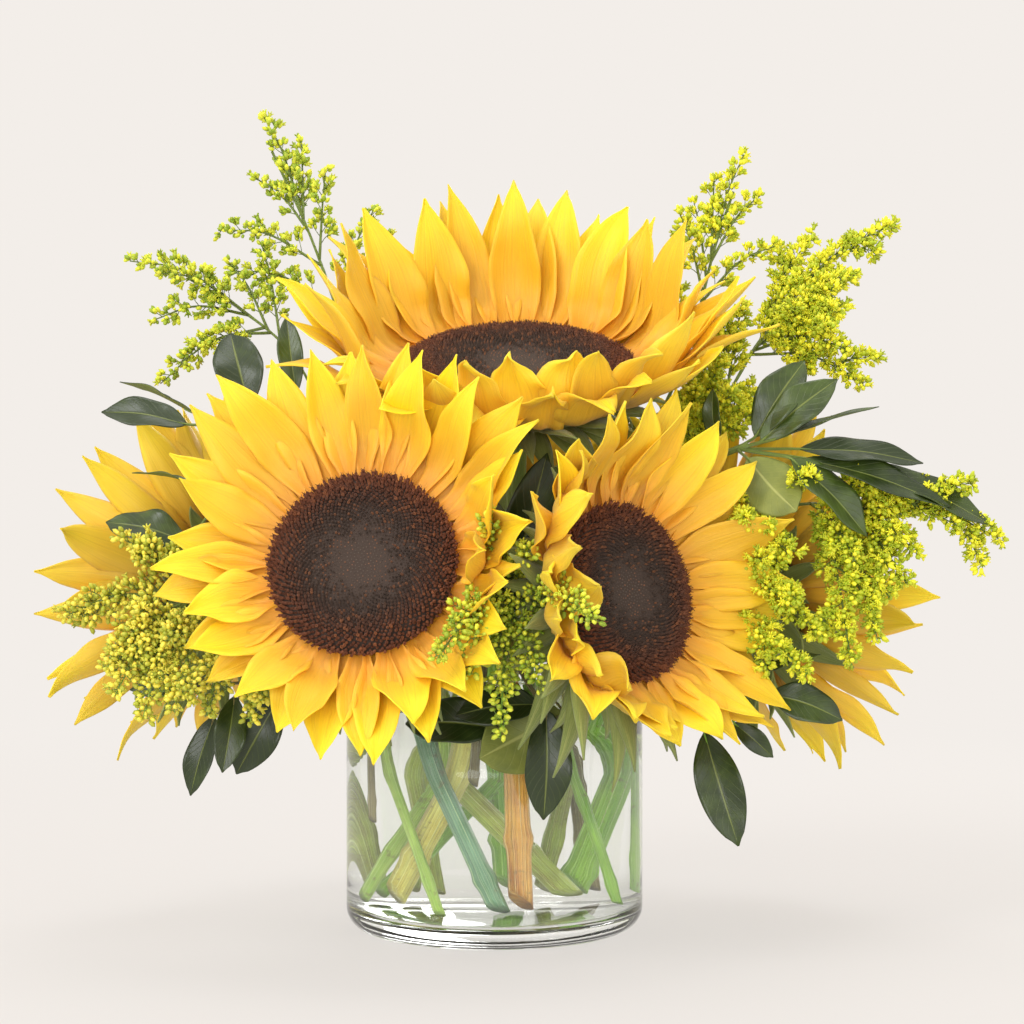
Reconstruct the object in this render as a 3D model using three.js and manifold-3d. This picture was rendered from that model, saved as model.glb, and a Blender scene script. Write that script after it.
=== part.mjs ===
// Sunflower bouquet in a glass cylinder vase: six cut sunflowers with goldenrod and glossy
// foliage, standing in water. Millimetres, +Z up, origin at the centre of the vase's underside,
// front towards -Y.
import * as THREE from 'three';
import { mergeVertices } from 'three/addons/utils/BufferGeometryUtils.js';
import Module from 'manifold-3d';

const wasm = await Module();
wasm.setup();

// ---- driving dimensions ----
const GAP = 0.35;                       // clearance kept between neighbouring solids
const ROOM = 0.8;                       // growth of a solid before a later one is cut by it
const VASE = { radius: 63.5, height: 110, wall: 4, floor: 8, corner: 10, sides: 36 };
const WATER_LEVEL = 95;
const LIP_Z = 112;                      // height at which every stem leaves the vase
const FOOT_Z = 9.5;                     // height of a stem's cut end above the table
const RECEPTACLE_DEPTH = 20;            // from the disc's back to the top of the stem
const PETAL_ROOT = 3;                   // how far a petal reaches in under the disc
const PETAL_VALLEY = 0.64;              // length between two petal tips, as a share of a petal
const PETAL_ROWS = [0, 0.18, 0.5, 1];
const PETAL_THICK = [1.4, 1.4, 1.1, 0.5];
const LEAF_THICK = 1.8;
const BRACTS = { count: 12, spread: 4, points: 5.5 };
const NECK = 12;                        // straight length of stem behind the receptacle
const STALK_RADIUS = 0.9;
const SHOOT_WIDTH = { least: 5, most: 13, perLength: 0.16 };
const SHOOT_ARCH = 0.12;                // rise of a side shoot, as a share of its length
const LEAF_ARCH = 0.12;                 // bulge of a leaf, as a share of its width
const LIFT_FROM = 0.05;                 // share of the length where a petal starts to rise
const LIFT_TO = 0.45;                   // share of the length where it has its full angle

const COLOURS = {
  glass: 0xe6efe9, water: 0xe4eeea, petal: 0xf7c62c, disc: 0x46301f, bract: 0x66762f,
  stem: 0x7d9a45, goldenrod: 0xc3bf2b, leaf: 0x3c5230,
};

// Lengths and lifts go round the head in 45 degree steps, from its right, over its top.
const SUNFLOWERS = [
  { name: 'sunflower_top', centre: [10, -20, 236], face: [0, -0.42, 0.91], disc: 49, petals: 20,
    lengths: [68, 74, 80, 76, 74, 60, 42, 54], lifts: [52, 66, 68, 68, 58, 42, 86, 62],
    stem: 4.6, lip: [6, -20], foot: [10, -36] },
  { name: 'sunflower_front_left', centre: [-50, -95, 157], face: [-0.12, -0.93, 0.34], disc: 37,
    petals: 18, lengths: [42, 56, 58, 60, 60, 50, 50, 47], lifts: [72, 46, 40, 26, 24, 28, 24, 34],
    stem: 3.8, lip: [-40, -32], foot: [3, -47] },
  { name: 'sunflower_front_right', centre: [50, -85, 146], face: [0.66, -0.72, 0.2], disc: 35,
    petals: 18, lengths: [56, 60, 54, 46, 38, 34, 38, 56], lifts: [32, 34, 46, 66, 92, 74, 50, 26],
    stem: 4.8, lip: [6, -38], foot: [-36, -14] },
  { name: 'sunflower_back_left', centre: [-120, 22, 147], face: [-0.72, 0.62, 0.3], disc: 35,
    petals: 16, lengths: [60, 60, 60, 56, 52, 52, 58, 62], lifts: [38, 40, 42, 40, 40, 40, 38, 38],
    stem: 4.0, lip: [-50, 12], foot: [25, 4] },
  { name: 'sunflower_back_right', centre: [112, 28, 143], face: [0.72, 0.62, 0.3], disc: 35,
    petals: 16, lengths: [52, 56, 62, 62, 60, 62, 64, 56], lifts: [40, 40, 42, 40, 38, 38, 36, 38],
    stem: 4.5, lip: [50, 16], foot: [22, 22] },
  { name: 'sunflower_back', centre: [5, 72, 168], face: [0.04, 0.88, 0.46], disc: 33,
    petals: 16, lengths: [44, 50, 54, 50, 44, 46, 50, 46], lifts: [52, 44, 40, 44, 52, 44, 40, 44],
    stem: 4.3, lip: [0, 36], foot: [4, 31] },
];

// Each goldenrod: the stem's route above the lip, and the tips of its flowering side shoots.
const GOLDENROD = [
  { name: 'goldenrod_tall_left', stem: 2.4, lip: [-28, 38], foot: [-16, 33],
    route: [[-50, 44, 190], [-69, 42, 262], [-84, 48, 304], [-101, 52, 341]],
    tips: [[-125, 50, 305], [-110, 58, 330], [-76, 42, 331], [-54, 42, 314], [-46, 38, 300],
      [-88, 56, 345], [-120, 46, 286], [-105, 52, 357]] },
  { name: 'goldenrod_left', stem: 2.3, lip: [-46, 26], foot: [-46, 20],
    route: [[-66, 36, 185], [-88, 34, 245], [-113, 35, 268], [-135, 30, 281]],
    tips: [[-150, 20, 262], [-146, 12, 282], [-120, 42, 290], [-105, 46, 298], [-138, 22, 244],
      [-146, 16, 234], [-160, 20, 288]] },
  { name: 'goldenrod_tall_right', stem: 2.4, lip: [26, 38], foot: [12, 44],
    route: [[60, 46, 190], [86, 44, 250], [99, 46, 298], [107, 46, 322]],
    tips: [[82, 42, 313], [90, 54, 318], [99, 52, 329], [119, 42, 320], [124, 32, 296],
      [70, 52, 290], [112, 48, 339]] },
  { name: 'goldenrod_right', stem: 2.6, lip: [33, 10], foot: [-33, 26],
    route: [[70, 14, 180], [104, 28, 232], [120, 36, 257], [142, 34, 276]],
    tips: [[157, 14, 281], [143, 46, 302], [154, 14, 266], [146, 8, 258], [160, 4, 232],
      [152, 2, 248], [98, -6, 243], [101, -22, 228], [112, -26, 220], [176, 26, 305]] },
  { name: 'goldenrod_low_right', stem: 2.4, lip: [52, -6], foot: [44, 12],
    route: [[80, -14, 146], [106, -18, 170], [128, -16, 181], [166, -24, 178]],
    tips: [[126, -68, 113], [145, -58, 116], [157, -48, 126], [171, -38, 148], [193, -36, 172],
      [114, -58, 172], [131, -48, 193], [161, -38, 190], [212, -30, 166]] },
  { name: 'goldenrod_low_left', stem: 2.2, lip: [-52, -8], foot: [-20, -44],
    route: [[-76, -32, 132], [-100, -50, 142], [-124, -60, 142], [-146, -66, 140]],
    tips: [[-152, -88, 116], [-148, -90, 106], [-137, -92, 96], [-124, -94, 100], [-112, -88, 98],
      [-96, -80, 95], [-150, -68, 168], [-130, -66, 162], [-172, -70, 136]] },
  { name: 'goldenrod_front', stem: 2.1, lip: [14, -50], foot: [20, -48, 62],
    route: [[10, -74, 133], [4, -98, 147]],
    tips: [[3, -125, 94], [17, -120, 112], [14, -116, 163], [38, -140, 138], [-7, -126, 130],
      [-10, -124, 116], [-20, -138, 124], [-2, -112, 174]] },
  { name: 'goldenrod_back', stem: 2.4, lip: [-13, 52], foot: [-22, 44],
    route: [[-44, 50, 165], [-44, 58, 215], [-36, 66, 252]],
    tips: [[-64, 66, 266], [-6, 76, 262], [-54, 86, 240], [-18, 88, 246], [-34, 90, 262],
      [-70, 70, 230], [-36, 74, 290]] },
];

// Each leafy branch: the twig's route above the lip, and its leaves as base, tip, width and the
// direction that the upper side faces.
const FOLIAGE = [
  { name: 'foliage_left', stem: 2.2, lip: [-42, 38], foot: [-30, 36],
    route: [[-58, -8, 168], [-82, -34, 200], [-104, -42, 216]],
    leaves: [[[-102, -30, 222], [-112, -14, 254], 21, [0, -1, 0.2]],
      [[-84, -14, 228], [-89, -6, 262], 11, [0, -1, 0]],
      [[-128, -44, 212], [-162, -40, 221], 12, [0, -0.5, 1]],
      [[-124, -38, 219], [-156, -30, 233], 8, [0, 0.2, 1]],
      [[-126, -46, 166], [-160, -40, 174], 19, [0.2, -0.9, 0.6]],
      [[-122, -50, 190], [-148, -48, 194], 8, [0, 0, 1]]] },
  { name: 'foliage_low_left', stem: 2.0, lip: [-48, -22], foot: [-46, -24, 48],
    route: [[-60, -36, 121], [-80, -52, 118], [-96, -60, 108]],
    leaves: [[[-112, -64, 96], [-122, -66, 64], 12, [-0.3, -1, 0]],
      [[-104, -64, 104], [-108, -72, 74], 13, [0.3, -1, 0]],
      [[-86, -62, 104], [-104, -60, 72], 18, [0, -1, 0]],
      [[-116, -56, 108], [-148, -54, 106], 11, [0, -1, 0.5]]] },
  { name: 'foliage_right', stem: 2.8, lip: [8, -4], foot: [-46, -4],
    route: [[36, -8, 158], [74, -26, 192], [105, -38, 206]],
    leaves: [[[110, -38, 211], [128, -32, 239], 16, [-0.4, -1, 0.2]],
      [[113, -40, 210], [142, -38, 232], 14, [-0.2, -1, 0.5]],
      [[116, -42, 208], [159, -40, 222], 7, [0, -0.4, 1]],
      [[92, -38, 206], [90, -40, 229], 9, [-0.6, -1, 0]],
      [[104, -44, 199], [124, -52, 184], 20, [0, -1, 0.2]],
      [[126, -40, 204], [176, -36, 199], 11, [0, -0.6, 1]],
      [[128, -42, 200], [189, -40, 181], 10, [0, -0.6, 1]],
      [[154, -34, 195], [208, -32, 173], 12, [0.2, -0.6, 1]],
      [[124, -44, 198], [153, -46, 168], 14, [0.4, -0.8, 0.6]]] },
  { name: 'foliage_low_right', stem: 2.4, lip: [14, -26], foot: [47, -21],
    route: [[50, -34, 124], [80, -42, 120], [102, -46, 112]],
    leaves: [[[112, -50, 104], [142, -56, 94], 17, [0.2, -1, 0.5]],
      [[110, -46, 113], [134, -46, 120], 9, [0, -0.6, 1]],
      [[86, -50, 88], [99, -60, 43], 19, [-0.2, -1, 0.2]],
      [[98, -50, 92], [114, -52, 78], 9, [0.3, -1, 0]]] },
  { name: 'foliage_front', stem: 2.0, lip: [-4, -52], foot: [-8, -50, 66],
    route: [[-2, -62, 123], [6, -74, 124]],
    leaves: [[[2, -74, 92], [-35, -72, 94], 20, [0, -0.9, 0.5]],
      [[18, -78, 102], [-15, -80, 98], 18, [0, -0.9, 0.5]],
      [[28, -76, 98], [-6, -78, 80], 30, [0.2, -1, 0.2]],
      [[20, -70, 86], [25, -72, 54], 17, [0.3, -1, 0]],
      [[6, -78, 132], [-1, -84, 186], 15, [0.5, -1, 0.2]],
      [[4, -70, 138], [22, -62, 202], 22, [0.1, -1, 0.1]],
      [[0, -70, 134], [-14, -60, 196], 20, [-0.1, -1, 0.1]]] },
  { name: 'foliage_back', stem: 2.2, lip: [16, 52], foot: [24, 44],
    route: [[44, 50, 162], [50, 56, 204]],
    leaves: [[[50, 58, 206], [58, 68, 250], 19, [0, 1, 0.2]],
      [[48, 56, 196], [84, 66, 224], 19, [0.3, 1, 0.3]],
      [[44, 60, 200], [14, 78, 238], 20, [-0.3, 1, 0.4]],
      [[50, 54, 180], [88, 62, 182], 18, [0.3, 1, 0.3]],
      [[20, 72, 115], [44, 98, 84], 22, [0.3, 1, 0.4]],
      [[10, 74, 114], [-20, 100, 82], 22, [-0.3, 1, 0.4]],
      [[32, 66, 122], [72, 84, 104], 18, [0.3, 1, 0.5]],
      [[-2, 70, 116], [-48, 78, 100], 19, [-0.3, 1, 0.5]]] },
];

// ---- solids ----
const vec = (p) => new THREE.Vector3(p[0], p[1], p[2]);

function signedVolume(geometry) {
  const position = geometry.getAttribute('position');
  const index = geometry.getIndex();
  const corner = [new THREE.Vector3(), new THREE.Vector3(), new THREE.Vector3()];
  let total = 0;
  for (let i = 0; i < index.count; i += 3) {
    for (let k = 0; k < 3; k += 1) {
      corner[k].fromBufferAttribute(position, index.getX(i + k));
    }
    total += corner[0].dot(corner[1].cross(corner[2])) / 6;
  }
  return total;
}

// A geometry with shared vertices and every face pointing out.
function closed(source) {
  const bare = source.clone();
  bare.deleteAttribute('normal');
  bare.deleteAttribute('uv');
  const geometry = mergeVertices(bare, 1e-3);
  if (signedVolume(geometry) < 0) {
    const index = geometry.getIndex();
    for (let i = 0; i < index.count; i += 3) {
      const first = index.getX(i);
      index.setX(i, index.getX(i + 1));
      index.setX(i + 1, first);
    }
  }
  return geometry;
}

function toManifold(source, growth = 0) {
  const geometry = closed(source);
  const position = geometry.getAttribute('position');
  if (growth > 0) {
    geometry.computeVertexNormals();
    const normal = geometry.getAttribute('normal');
    for (let i = 0; i < position.count; i += 1) {
      position.setXYZ(i, position.getX(i) + growth * normal.getX(i),
        position.getY(i) + growth * normal.getY(i), position.getZ(i) + growth * normal.getZ(i));
    }
  }
  const mesh = new wasm.Mesh({
    numProp: 3,
    vertProperties: new Float32Array(position.array),
    triVerts: new Uint32Array(geometry.getIndex().array),
  });
  mesh.merge();
  return new wasm.Manifold(mesh);
}

function toGeometry(solid) {
  const mesh = solid.getMesh();
  const geometry = new THREE.BufferGeometry();
  geometry.setAttribute('position', new THREE.BufferAttribute(mesh.vertProperties, 3));
  geometry.setIndex(new THREE.BufferAttribute(mesh.triVerts, 1));
  geometry.computeVertexNormals();
  return geometry;
}

const joined = (solids) => solids.reduce((sum, solid) => sum.add(solid));

// What is left of a piece once its neighbours have their room: the largest remaining body.
function cleared(solid, cutters) {
  const left = cutters.reduce((rest, cutter) => rest.subtract(cutter), solid);
  const bodies = left.decompose();
  return bodies.reduce((best, body) => (body.volume() > best.volume() ? body : best));
}

function tube(points, radius, sides, steps) {
  const section = new THREE.Shape();
  for (let i = 0; i < sides; i += 1) {
    const angle = (2 * Math.PI * i) / sides;
    const corner = [radius * Math.cos(angle), radius * Math.sin(angle)];
    if (i === 0) {
      section.moveTo(...corner);
    } else {
      section.lineTo(...corner);
    }
  }
  section.closePath();
  const path = new THREE.CatmullRomCurve3(points, false, 'centripetal');
  return new THREE.ExtrudeGeometry(section, {
    steps, bevelEnabled: false, extrudePath: path, curveSegments: 1,
  });
}

// A pointed body of unit length bent along a curve: width across, thick along the face direction.
function blade(curve, profile, width, thick, face, sides) {
  const outline = profile.map(([r, y]) => new THREE.Vector2(r, y));
  const geometry = new THREE.LatheGeometry(outline, sides);
  const position = geometry.getAttribute('position');
  for (let i = 0; i < position.count; i += 1) {
    const along = Math.min(Math.max(position.getY(i), 0), 1);
    const tangent = curve.getTangentAt(along);
    const side = new THREE.Vector3().crossVectors(tangent, face).normalize();
    const normal = new THREE.Vector3().crossVectors(side, tangent);
    const point = curve.getPointAt(along)
      .addScaledVector(side, position.getX(i) * width)
      .addScaledVector(normal, position.getZ(i) * thick);
    position.setXYZ(i, point.x, point.y, point.z);
  }
  return geometry;
}

const LEAF_PROFILE = [[0, 0], [0.3, 0.2], [0.5, 0.52], [0.3, 0.86], [0, 1]];
const SHOOT_PROFILE = [[0, 0], [0.5, 0.35], [0.42, 0.75], [0, 1]];

// ---- vase and water ----
function vaseGeometry() {
  const { radius, height, wall, floor, corner, sides } = VASE;
  const inner = radius - wall;
  const outline = new THREE.Path();
  outline.moveTo(0, 0);
  outline.lineTo(radius - corner, 0);
  outline.absarc(radius - corner, corner, corner, -Math.PI / 2, 0, false);
  outline.lineTo(radius, height - wall / 2);
  outline.absarc(radius - wall / 2, height - wall / 2, wall / 2, 0, Math.PI, false);
  outline.lineTo(inner, floor + corner / 2);
  outline.absarc(inner - corner / 2, floor + corner / 2, corner / 2, 0, -Math.PI / 2, true);
  outline.lineTo(0, floor);
  const geometry = new THREE.LatheGeometry(outline.getPoints(1), sides);
  return geometry.rotateX(Math.PI / 2);
}

function waterGeometry() {
  const inner = VASE.radius - VASE.wall - GAP;
  const round = VASE.corner / 2;
  const bottom = VASE.floor + GAP;
  const outline = new THREE.Path();
  outline.moveTo(0, bottom);
  outline.lineTo(inner - round, bottom);
  outline.absarc(inner - round, bottom + round, round, -Math.PI / 2, 0, false);
  outline.lineTo(inner, WATER_LEVEL);
  outline.lineTo(0, WATER_LEVEL);
  const geometry = new THREE.LatheGeometry(outline.getPoints(1), VASE.sides);
  return geometry.rotateX(Math.PI / 2);
}

// ---- sunflower ----
// The head's own frame: x to its right, y towards its top, z along the way it faces.
function headMatrix(flower) {
  const z = vec(flower.face).normalize();
  const x = new THREE.Vector3(0, 0, 1).cross(z).normalize();
  const y = new THREE.Vector3().crossVectors(z, x);
  return new THREE.Matrix4().makeBasis(x, y, z).setPosition(vec(flower.centre));
}

function aroundHead(values, angle) {
  const turn = ((angle / (2 * Math.PI)) % 1 + 1) % 1;
  const place = turn * values.length;
  const from = Math.floor(place) % values.length;
  const share = THREE.MathUtils.smoothstep(place - Math.floor(place), 0, 1);
  return values[from] * (1 - share) + values[(from + 1) % values.length] * share;
}

// Distance out, height and slope of a petal's middle surface, a share of the way along it.
function petalPlace(disc, length, lift, along) {
  const steps = 12;
  const place = { out: disc - PETAL_ROOT, up: -1.4, slope: 0 };
  for (let i = 0; i < steps; i += 1) {
    const middle = (along * (i + 0.5)) / steps;
    const slope = lift * THREE.MathUtils.smoothstep(middle, LIFT_FROM, LIFT_TO);
    place.out += (length * along * Math.cos(slope)) / steps;
    place.up += (length * along * Math.sin(slope)) / steps;
  }
  place.slope = lift * THREE.MathUtils.smoothstep(along, LIFT_FROM, LIFT_TO);
  return place;
}

// Both skins of the ring, and both halves of each petal, fold along the same lines, so a ring
// whose lift changes quickly stays as thick as its edges are.
function foldAlike(geometry, columns, rows) {
  const index = [];
  const across = 2 * rows + 1;
  for (let i = 0; i < columns; i += 1) {
    for (let j = 0; j < 2 * rows; j += 1) {
      const a = i * across + j;
      const [b, c, d] = [a + across, a + across + 1, a + 1];
      const crossed = (i % 2 === 0) === (j < rows);
      index.push(...(crossed ? [a, b, c, a, c, d] : [a, b, d, c, d, b]));
    }
  }
  geometry.setIndex(index);
}

function petalsGeometry(flower, growth) {
  const reach = 100;
  const columns = flower.petals * 2;
  const skin = (side) => PETAL_ROWS.map((row, i) => (
    new THREE.Vector2(reach * (1 + row), side * (PETAL_THICK[i] / 2 + growth))));
  const under = skin(-1);
  const outline = [...under, ...skin(1).reverse(), under[0].clone()];
  const geometry = new THREE.LatheGeometry(outline, columns).rotateX(Math.PI / 2);
  foldAlike(geometry, columns, PETAL_ROWS.length);
  const position = geometry.getAttribute('position');
  for (let i = 0; i < position.count; i += 1) {
    const angle = Math.atan2(position.getY(i), position.getX(i));
    const along = Math.hypot(position.getX(i), position.getY(i)) / reach - 1;
    const tipped = (1 + PETAL_VALLEY + (1 - PETAL_VALLEY) * Math.cos(flower.petals * angle)) / 2;
    const length = aroundHead(flower.lengths, angle) * tipped + 2 * growth;
    const lift = THREE.MathUtils.degToRad(aroundHead(flower.lifts, angle));
    const place = petalPlace(flower.disc, length, lift, along);
    const offset = position.getZ(i);
    const out = place.out - offset * Math.sin(place.slope);
    position.setXYZ(i, out * Math.cos(angle), out * Math.sin(angle),
      place.up + offset * Math.cos(place.slope));
  }
  return geometry.applyMatrix4(headMatrix(flower));
}

function discGeometry(flower) {
  const r = flower.disc;
  const outline = [[0, 0], [r - 3, 0], [r, 1.5], [r, 4.5], [r * 0.85, 7.4],
    [r * 0.36, 6.4], [0, 5.2]];
  const points = outline.map(([x, y]) => new THREE.Vector2(x, y));
  return new THREE.LatheGeometry(points, 24).rotateX(Math.PI / 2)
    .applyMatrix4(headMatrix(flower));
}

function bractsGeometry(flower, growth) {
  const r = flower.disc + growth;
  const tip = r + BRACTS.spread + growth;
  const outline = [[0, -3 + growth], [r - 2, -3 + growth], [tip, -5 + growth], [tip, -5 - growth],
    [r - 4, -8 - growth], [r * 0.55, -13 - growth],
    [flower.stem + 3 + growth, -RECEPTACLE_DEPTH + 1], [0, -RECEPTACLE_DEPTH + 1]];
  const points = outline.map(([x, y]) => new THREE.Vector2(x, y));
  const geometry = new THREE.LatheGeometry(points.reverse(), BRACTS.count * 2).rotateX(Math.PI / 2);
  const position = geometry.getAttribute('position');
  for (let i = 0; i < position.count; i += 1) {
    const out = Math.hypot(position.getX(i), position.getY(i));
    if (out > tip - 0.1) {
      const angle = Math.atan2(position.getY(i), position.getX(i));
      const stretch = 1 + (BRACTS.points * Math.cos(BRACTS.count * angle)) / out;
      position.setX(i, position.getX(i) * stretch);
      position.setY(i, position.getY(i) * stretch);
    }
  }
  return geometry.applyMatrix4(headMatrix(flower));
}

// From the cut end, straight through the water to the lip, then on along the given points.
function stemPoints(plant, route) {
  const [x, y, z = FOOT_Z + plant.stem] = plant.foot;
  const foot = new THREE.Vector3(x, y, z);
  const lip = new THREE.Vector3(plant.lip[0], plant.lip[1], LIP_Z);
  const middle = foot.clone().lerp(lip, 0.6);
  return [foot, middle, lip, ...route];
}

function sunflowerStem(flower) {
  const facing = vec(flower.face).normalize();
  const centre = vec(flower.centre);
  const top = centre.clone().addScaledVector(facing, -RECEPTACLE_DEPTH);
  const neck = centre.clone().addScaledVector(facing, -RECEPTACLE_DEPTH - NECK);
  return tube(stemPoints(flower, [neck, top]), flower.stem, 7, 10);
}

// ---- goldenrod and foliage ----
function nearestOn(curve, target) {
  const samples = 60;
  let best = 0;
  for (let i = 1; i <= samples; i += 1) {
    if (curve.getPointAt(i / samples).distanceTo(target)
      < curve.getPointAt(best).distanceTo(target)) {
      best = i / samples;
    }
  }
  return best;
}

// Flowering side shoots leave the stem a little below their tips and arch over at the end.
function goldenrodSolid(plant, growth) {
  const points = stemPoints(plant, plant.route.map(vec));
  const path = new THREE.CatmullRomCurve3(points, false, 'centripetal');
  const solids = [toManifold(tube(points, plant.stem, 5, 8), growth)];
  for (const tip of plant.tips) {
    const end = vec(tip);
    const nearest = nearestOn(path, end);
    const start = path.getPointAt(Math.max(nearest - 0.1, 0.3));
    const arch = start.clone().lerp(end, 0.55);
    arch.z += SHOOT_ARCH * start.distanceTo(end);
    const curve = new THREE.CatmullRomCurve3([start, arch, end]);
    const face = new THREE.Vector3(0.3, -0.9, 0.3);
    const { least, most, perLength } = SHOOT_WIDTH;
    const width = Math.min(most, least + start.distanceTo(end) * perLength);
    const across = width + 2 * growth;
    solids.push(toManifold(blade(curve, SHOOT_PROFILE, across, across, face, 5)));
  }
  return joined(solids);
}

function foliageSolid(plant, growth) {
  const points = stemPoints(plant, plant.route.map(vec));
  const path = new THREE.CatmullRomCurve3(points, false, 'centripetal');
  const solids = [toManifold(tube(points, plant.stem, 5, 8), growth)];
  for (const [base, tip, width, facing] of plant.leaves) {
    const face = vec(facing).normalize();
    const start = vec(base);
    const end = vec(tip);
    const root = path.getPointAt(nearestOn(path, start));
    const arch = start.clone().lerp(end, 0.5).addScaledVector(face, width * LEAF_ARCH);
    const curve = new THREE.QuadraticBezierCurve3(start, arch, end);
    const [across, through] = [width + 2 * growth, LEAF_THICK + 2 * growth];
    solids.push(toManifold(blade(curve, LEAF_PROFILE, across, through, face, 4)));
    const into = start.clone().lerp(arch, 0.25);
    const stalk = new THREE.CatmullRomCurve3([root, start, into]);
    solids.push(toManifold(tube(stalk.getPoints(2), STALK_RADIUS, 4, 2), growth));
  }
  return joined(solids);
}

// ---- assembly: earlier pieces keep their shape, later ones give them room ----
const group = new THREE.Group();
const placed = [];

function overlaps(a, b) {
  const p = a.boundingBox();
  const q = b.boundingBox();
  return [0, 1, 2].every((k) => p.min[k] < q.max[k] && q.min[k] < p.max[k]);
}

function add(name, colour, solid, grown, look = {}) {
  const cutters = placed.filter((cutter) => overlaps(cutter, solid));
  const shape = cutters.length ? cleared(solid, cutters) : solid;
  placed.push(grown);
  const settings = { color: COLOURS[colour], roughness: 0.6, metalness: 0, ...look };
  const mesh = new THREE.Mesh(toGeometry(shape), new THREE.MeshStandardMaterial(settings));
  mesh.name = name;
  group.add(mesh);
}

function addGeometry(name, colour, geometry, look) {
  add(name, colour, toManifold(geometry), toManifold(geometry, ROOM), look);
}

addGeometry('vase', 'glass', vaseGeometry(), { roughness: 0.03 });
for (const flower of SUNFLOWERS) {
  addGeometry(`${flower.name}_stem`, 'stem', sunflowerStem(flower));
}
for (const flower of SUNFLOWERS) {
  const disc = discGeometry(flower);
  add(`${flower.name}_disc`, 'disc', toManifold(disc), toManifold(disc, GAP + 0.2),
    { roughness: 0.95 });
  add(`${flower.name}_bracts`, 'bract', toManifold(bractsGeometry(flower, 0.1)),
    toManifold(bractsGeometry(flower, ROOM)));
}
for (const flower of SUNFLOWERS) {
  add(`${flower.name}_petals`, 'petal', toManifold(petalsGeometry(flower, 0)),
    toManifold(petalsGeometry(flower, ROOM)));
}
for (const plant of FOLIAGE) {
  add(plant.name, 'leaf', foliageSolid(plant, 0), foliageSolid(plant, ROOM), { roughness: 0.35 });
}
for (const plant of GOLDENROD) {
  add(plant.name, 'goldenrod', goldenrodSolid(plant, 0), goldenrodSolid(plant, ROOM));
}
addGeometry('water', 'water', waterGeometry(), { roughness: 0.02 });

export default group;
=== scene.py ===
import math
import random

import bmesh
import bpy
import numpy as np
from mathutils import Matrix, Vector, noise


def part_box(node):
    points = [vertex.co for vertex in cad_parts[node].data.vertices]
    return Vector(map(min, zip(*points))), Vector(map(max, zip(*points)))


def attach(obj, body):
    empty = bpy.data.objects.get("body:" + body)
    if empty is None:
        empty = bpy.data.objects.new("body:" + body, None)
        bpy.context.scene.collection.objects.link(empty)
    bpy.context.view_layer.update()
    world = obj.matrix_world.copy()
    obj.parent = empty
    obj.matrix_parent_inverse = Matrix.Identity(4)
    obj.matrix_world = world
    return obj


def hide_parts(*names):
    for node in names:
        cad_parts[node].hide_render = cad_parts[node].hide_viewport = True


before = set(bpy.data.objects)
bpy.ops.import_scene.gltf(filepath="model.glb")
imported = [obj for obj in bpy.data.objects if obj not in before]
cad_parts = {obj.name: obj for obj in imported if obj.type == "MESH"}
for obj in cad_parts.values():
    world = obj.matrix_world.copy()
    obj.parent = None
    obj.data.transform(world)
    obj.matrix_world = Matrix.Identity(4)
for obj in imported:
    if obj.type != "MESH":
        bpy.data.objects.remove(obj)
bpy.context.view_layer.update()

MM = 0.001
GOLDEN_ANGLE = math.radians(137.508)

# ---- design, in millimetres
VASE_RADIUS = 63.5
VASE_HEIGHT = 110.0
VASE_WALL = 3.6
VASE_FLOOR = 8.0
VASE_CORNER = 10.0
WATER_LEVEL = 95.0
LIP_Z = 112.0
FOOT_Z = 9.5
RECEPTACLE_DEPTH = 20.0
NECK_LENGTH = 12.0
PETAL_ROOT = 3.0
PETAL_COLUMNS, PETAL_ROWS, STEPS_PER_ROW = 10, 20, 3
PETAL_THICKNESS = 0.4
# The shares along a petal between which it turns from flat to its full lift.
LIFT_FROM, LIFT_TO = 0.05, 0.45
# Degrees that the inner whorl of petals rises and the outer one drops, and that the outer one
# drops further where petals shorter than SHORT_PETAL are lifted past STEEP_FROM.
INNER_LIFT, OUTER_DROP, STEEP_DROP = 5, 9, 26
STEEP_FROM, STEEP_TO, SHORT_PETAL = 54, 84, 58
BRACT_COLUMNS, BRACT_ROWS = 4, 9
BRACT_WHORLS, BRACTS_IN_WHORL = 3, 15
BRACT_THICKNESS = 0.7
BRACT_TIP = 0.04
HANG = 0.55
FLORET_SPACING, FLORETS_PER_SPACE = 1.38, 3.1
# The shares of a disc's radius where buds give way to young florets and these to open ones, and
# the share whose colour the dome under them has.
BUD_ZONE, YOUNG_ZONE, DOME_ZONE = 0.42, 0.8, 0.45
BUD_SPACING = 1.15
# A goldenrod bud that stands further out than this is given a stalk of its own.
LONG_STALK = 1.0
LEAF_COLUMNS, LEAF_ROWS = 12, 20
LEAF_THICKNESS = 0.35
MENISCUS = 1.2
WATER_OVERLAP = 0.12
LEAST_WIDTH = 0.03

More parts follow.
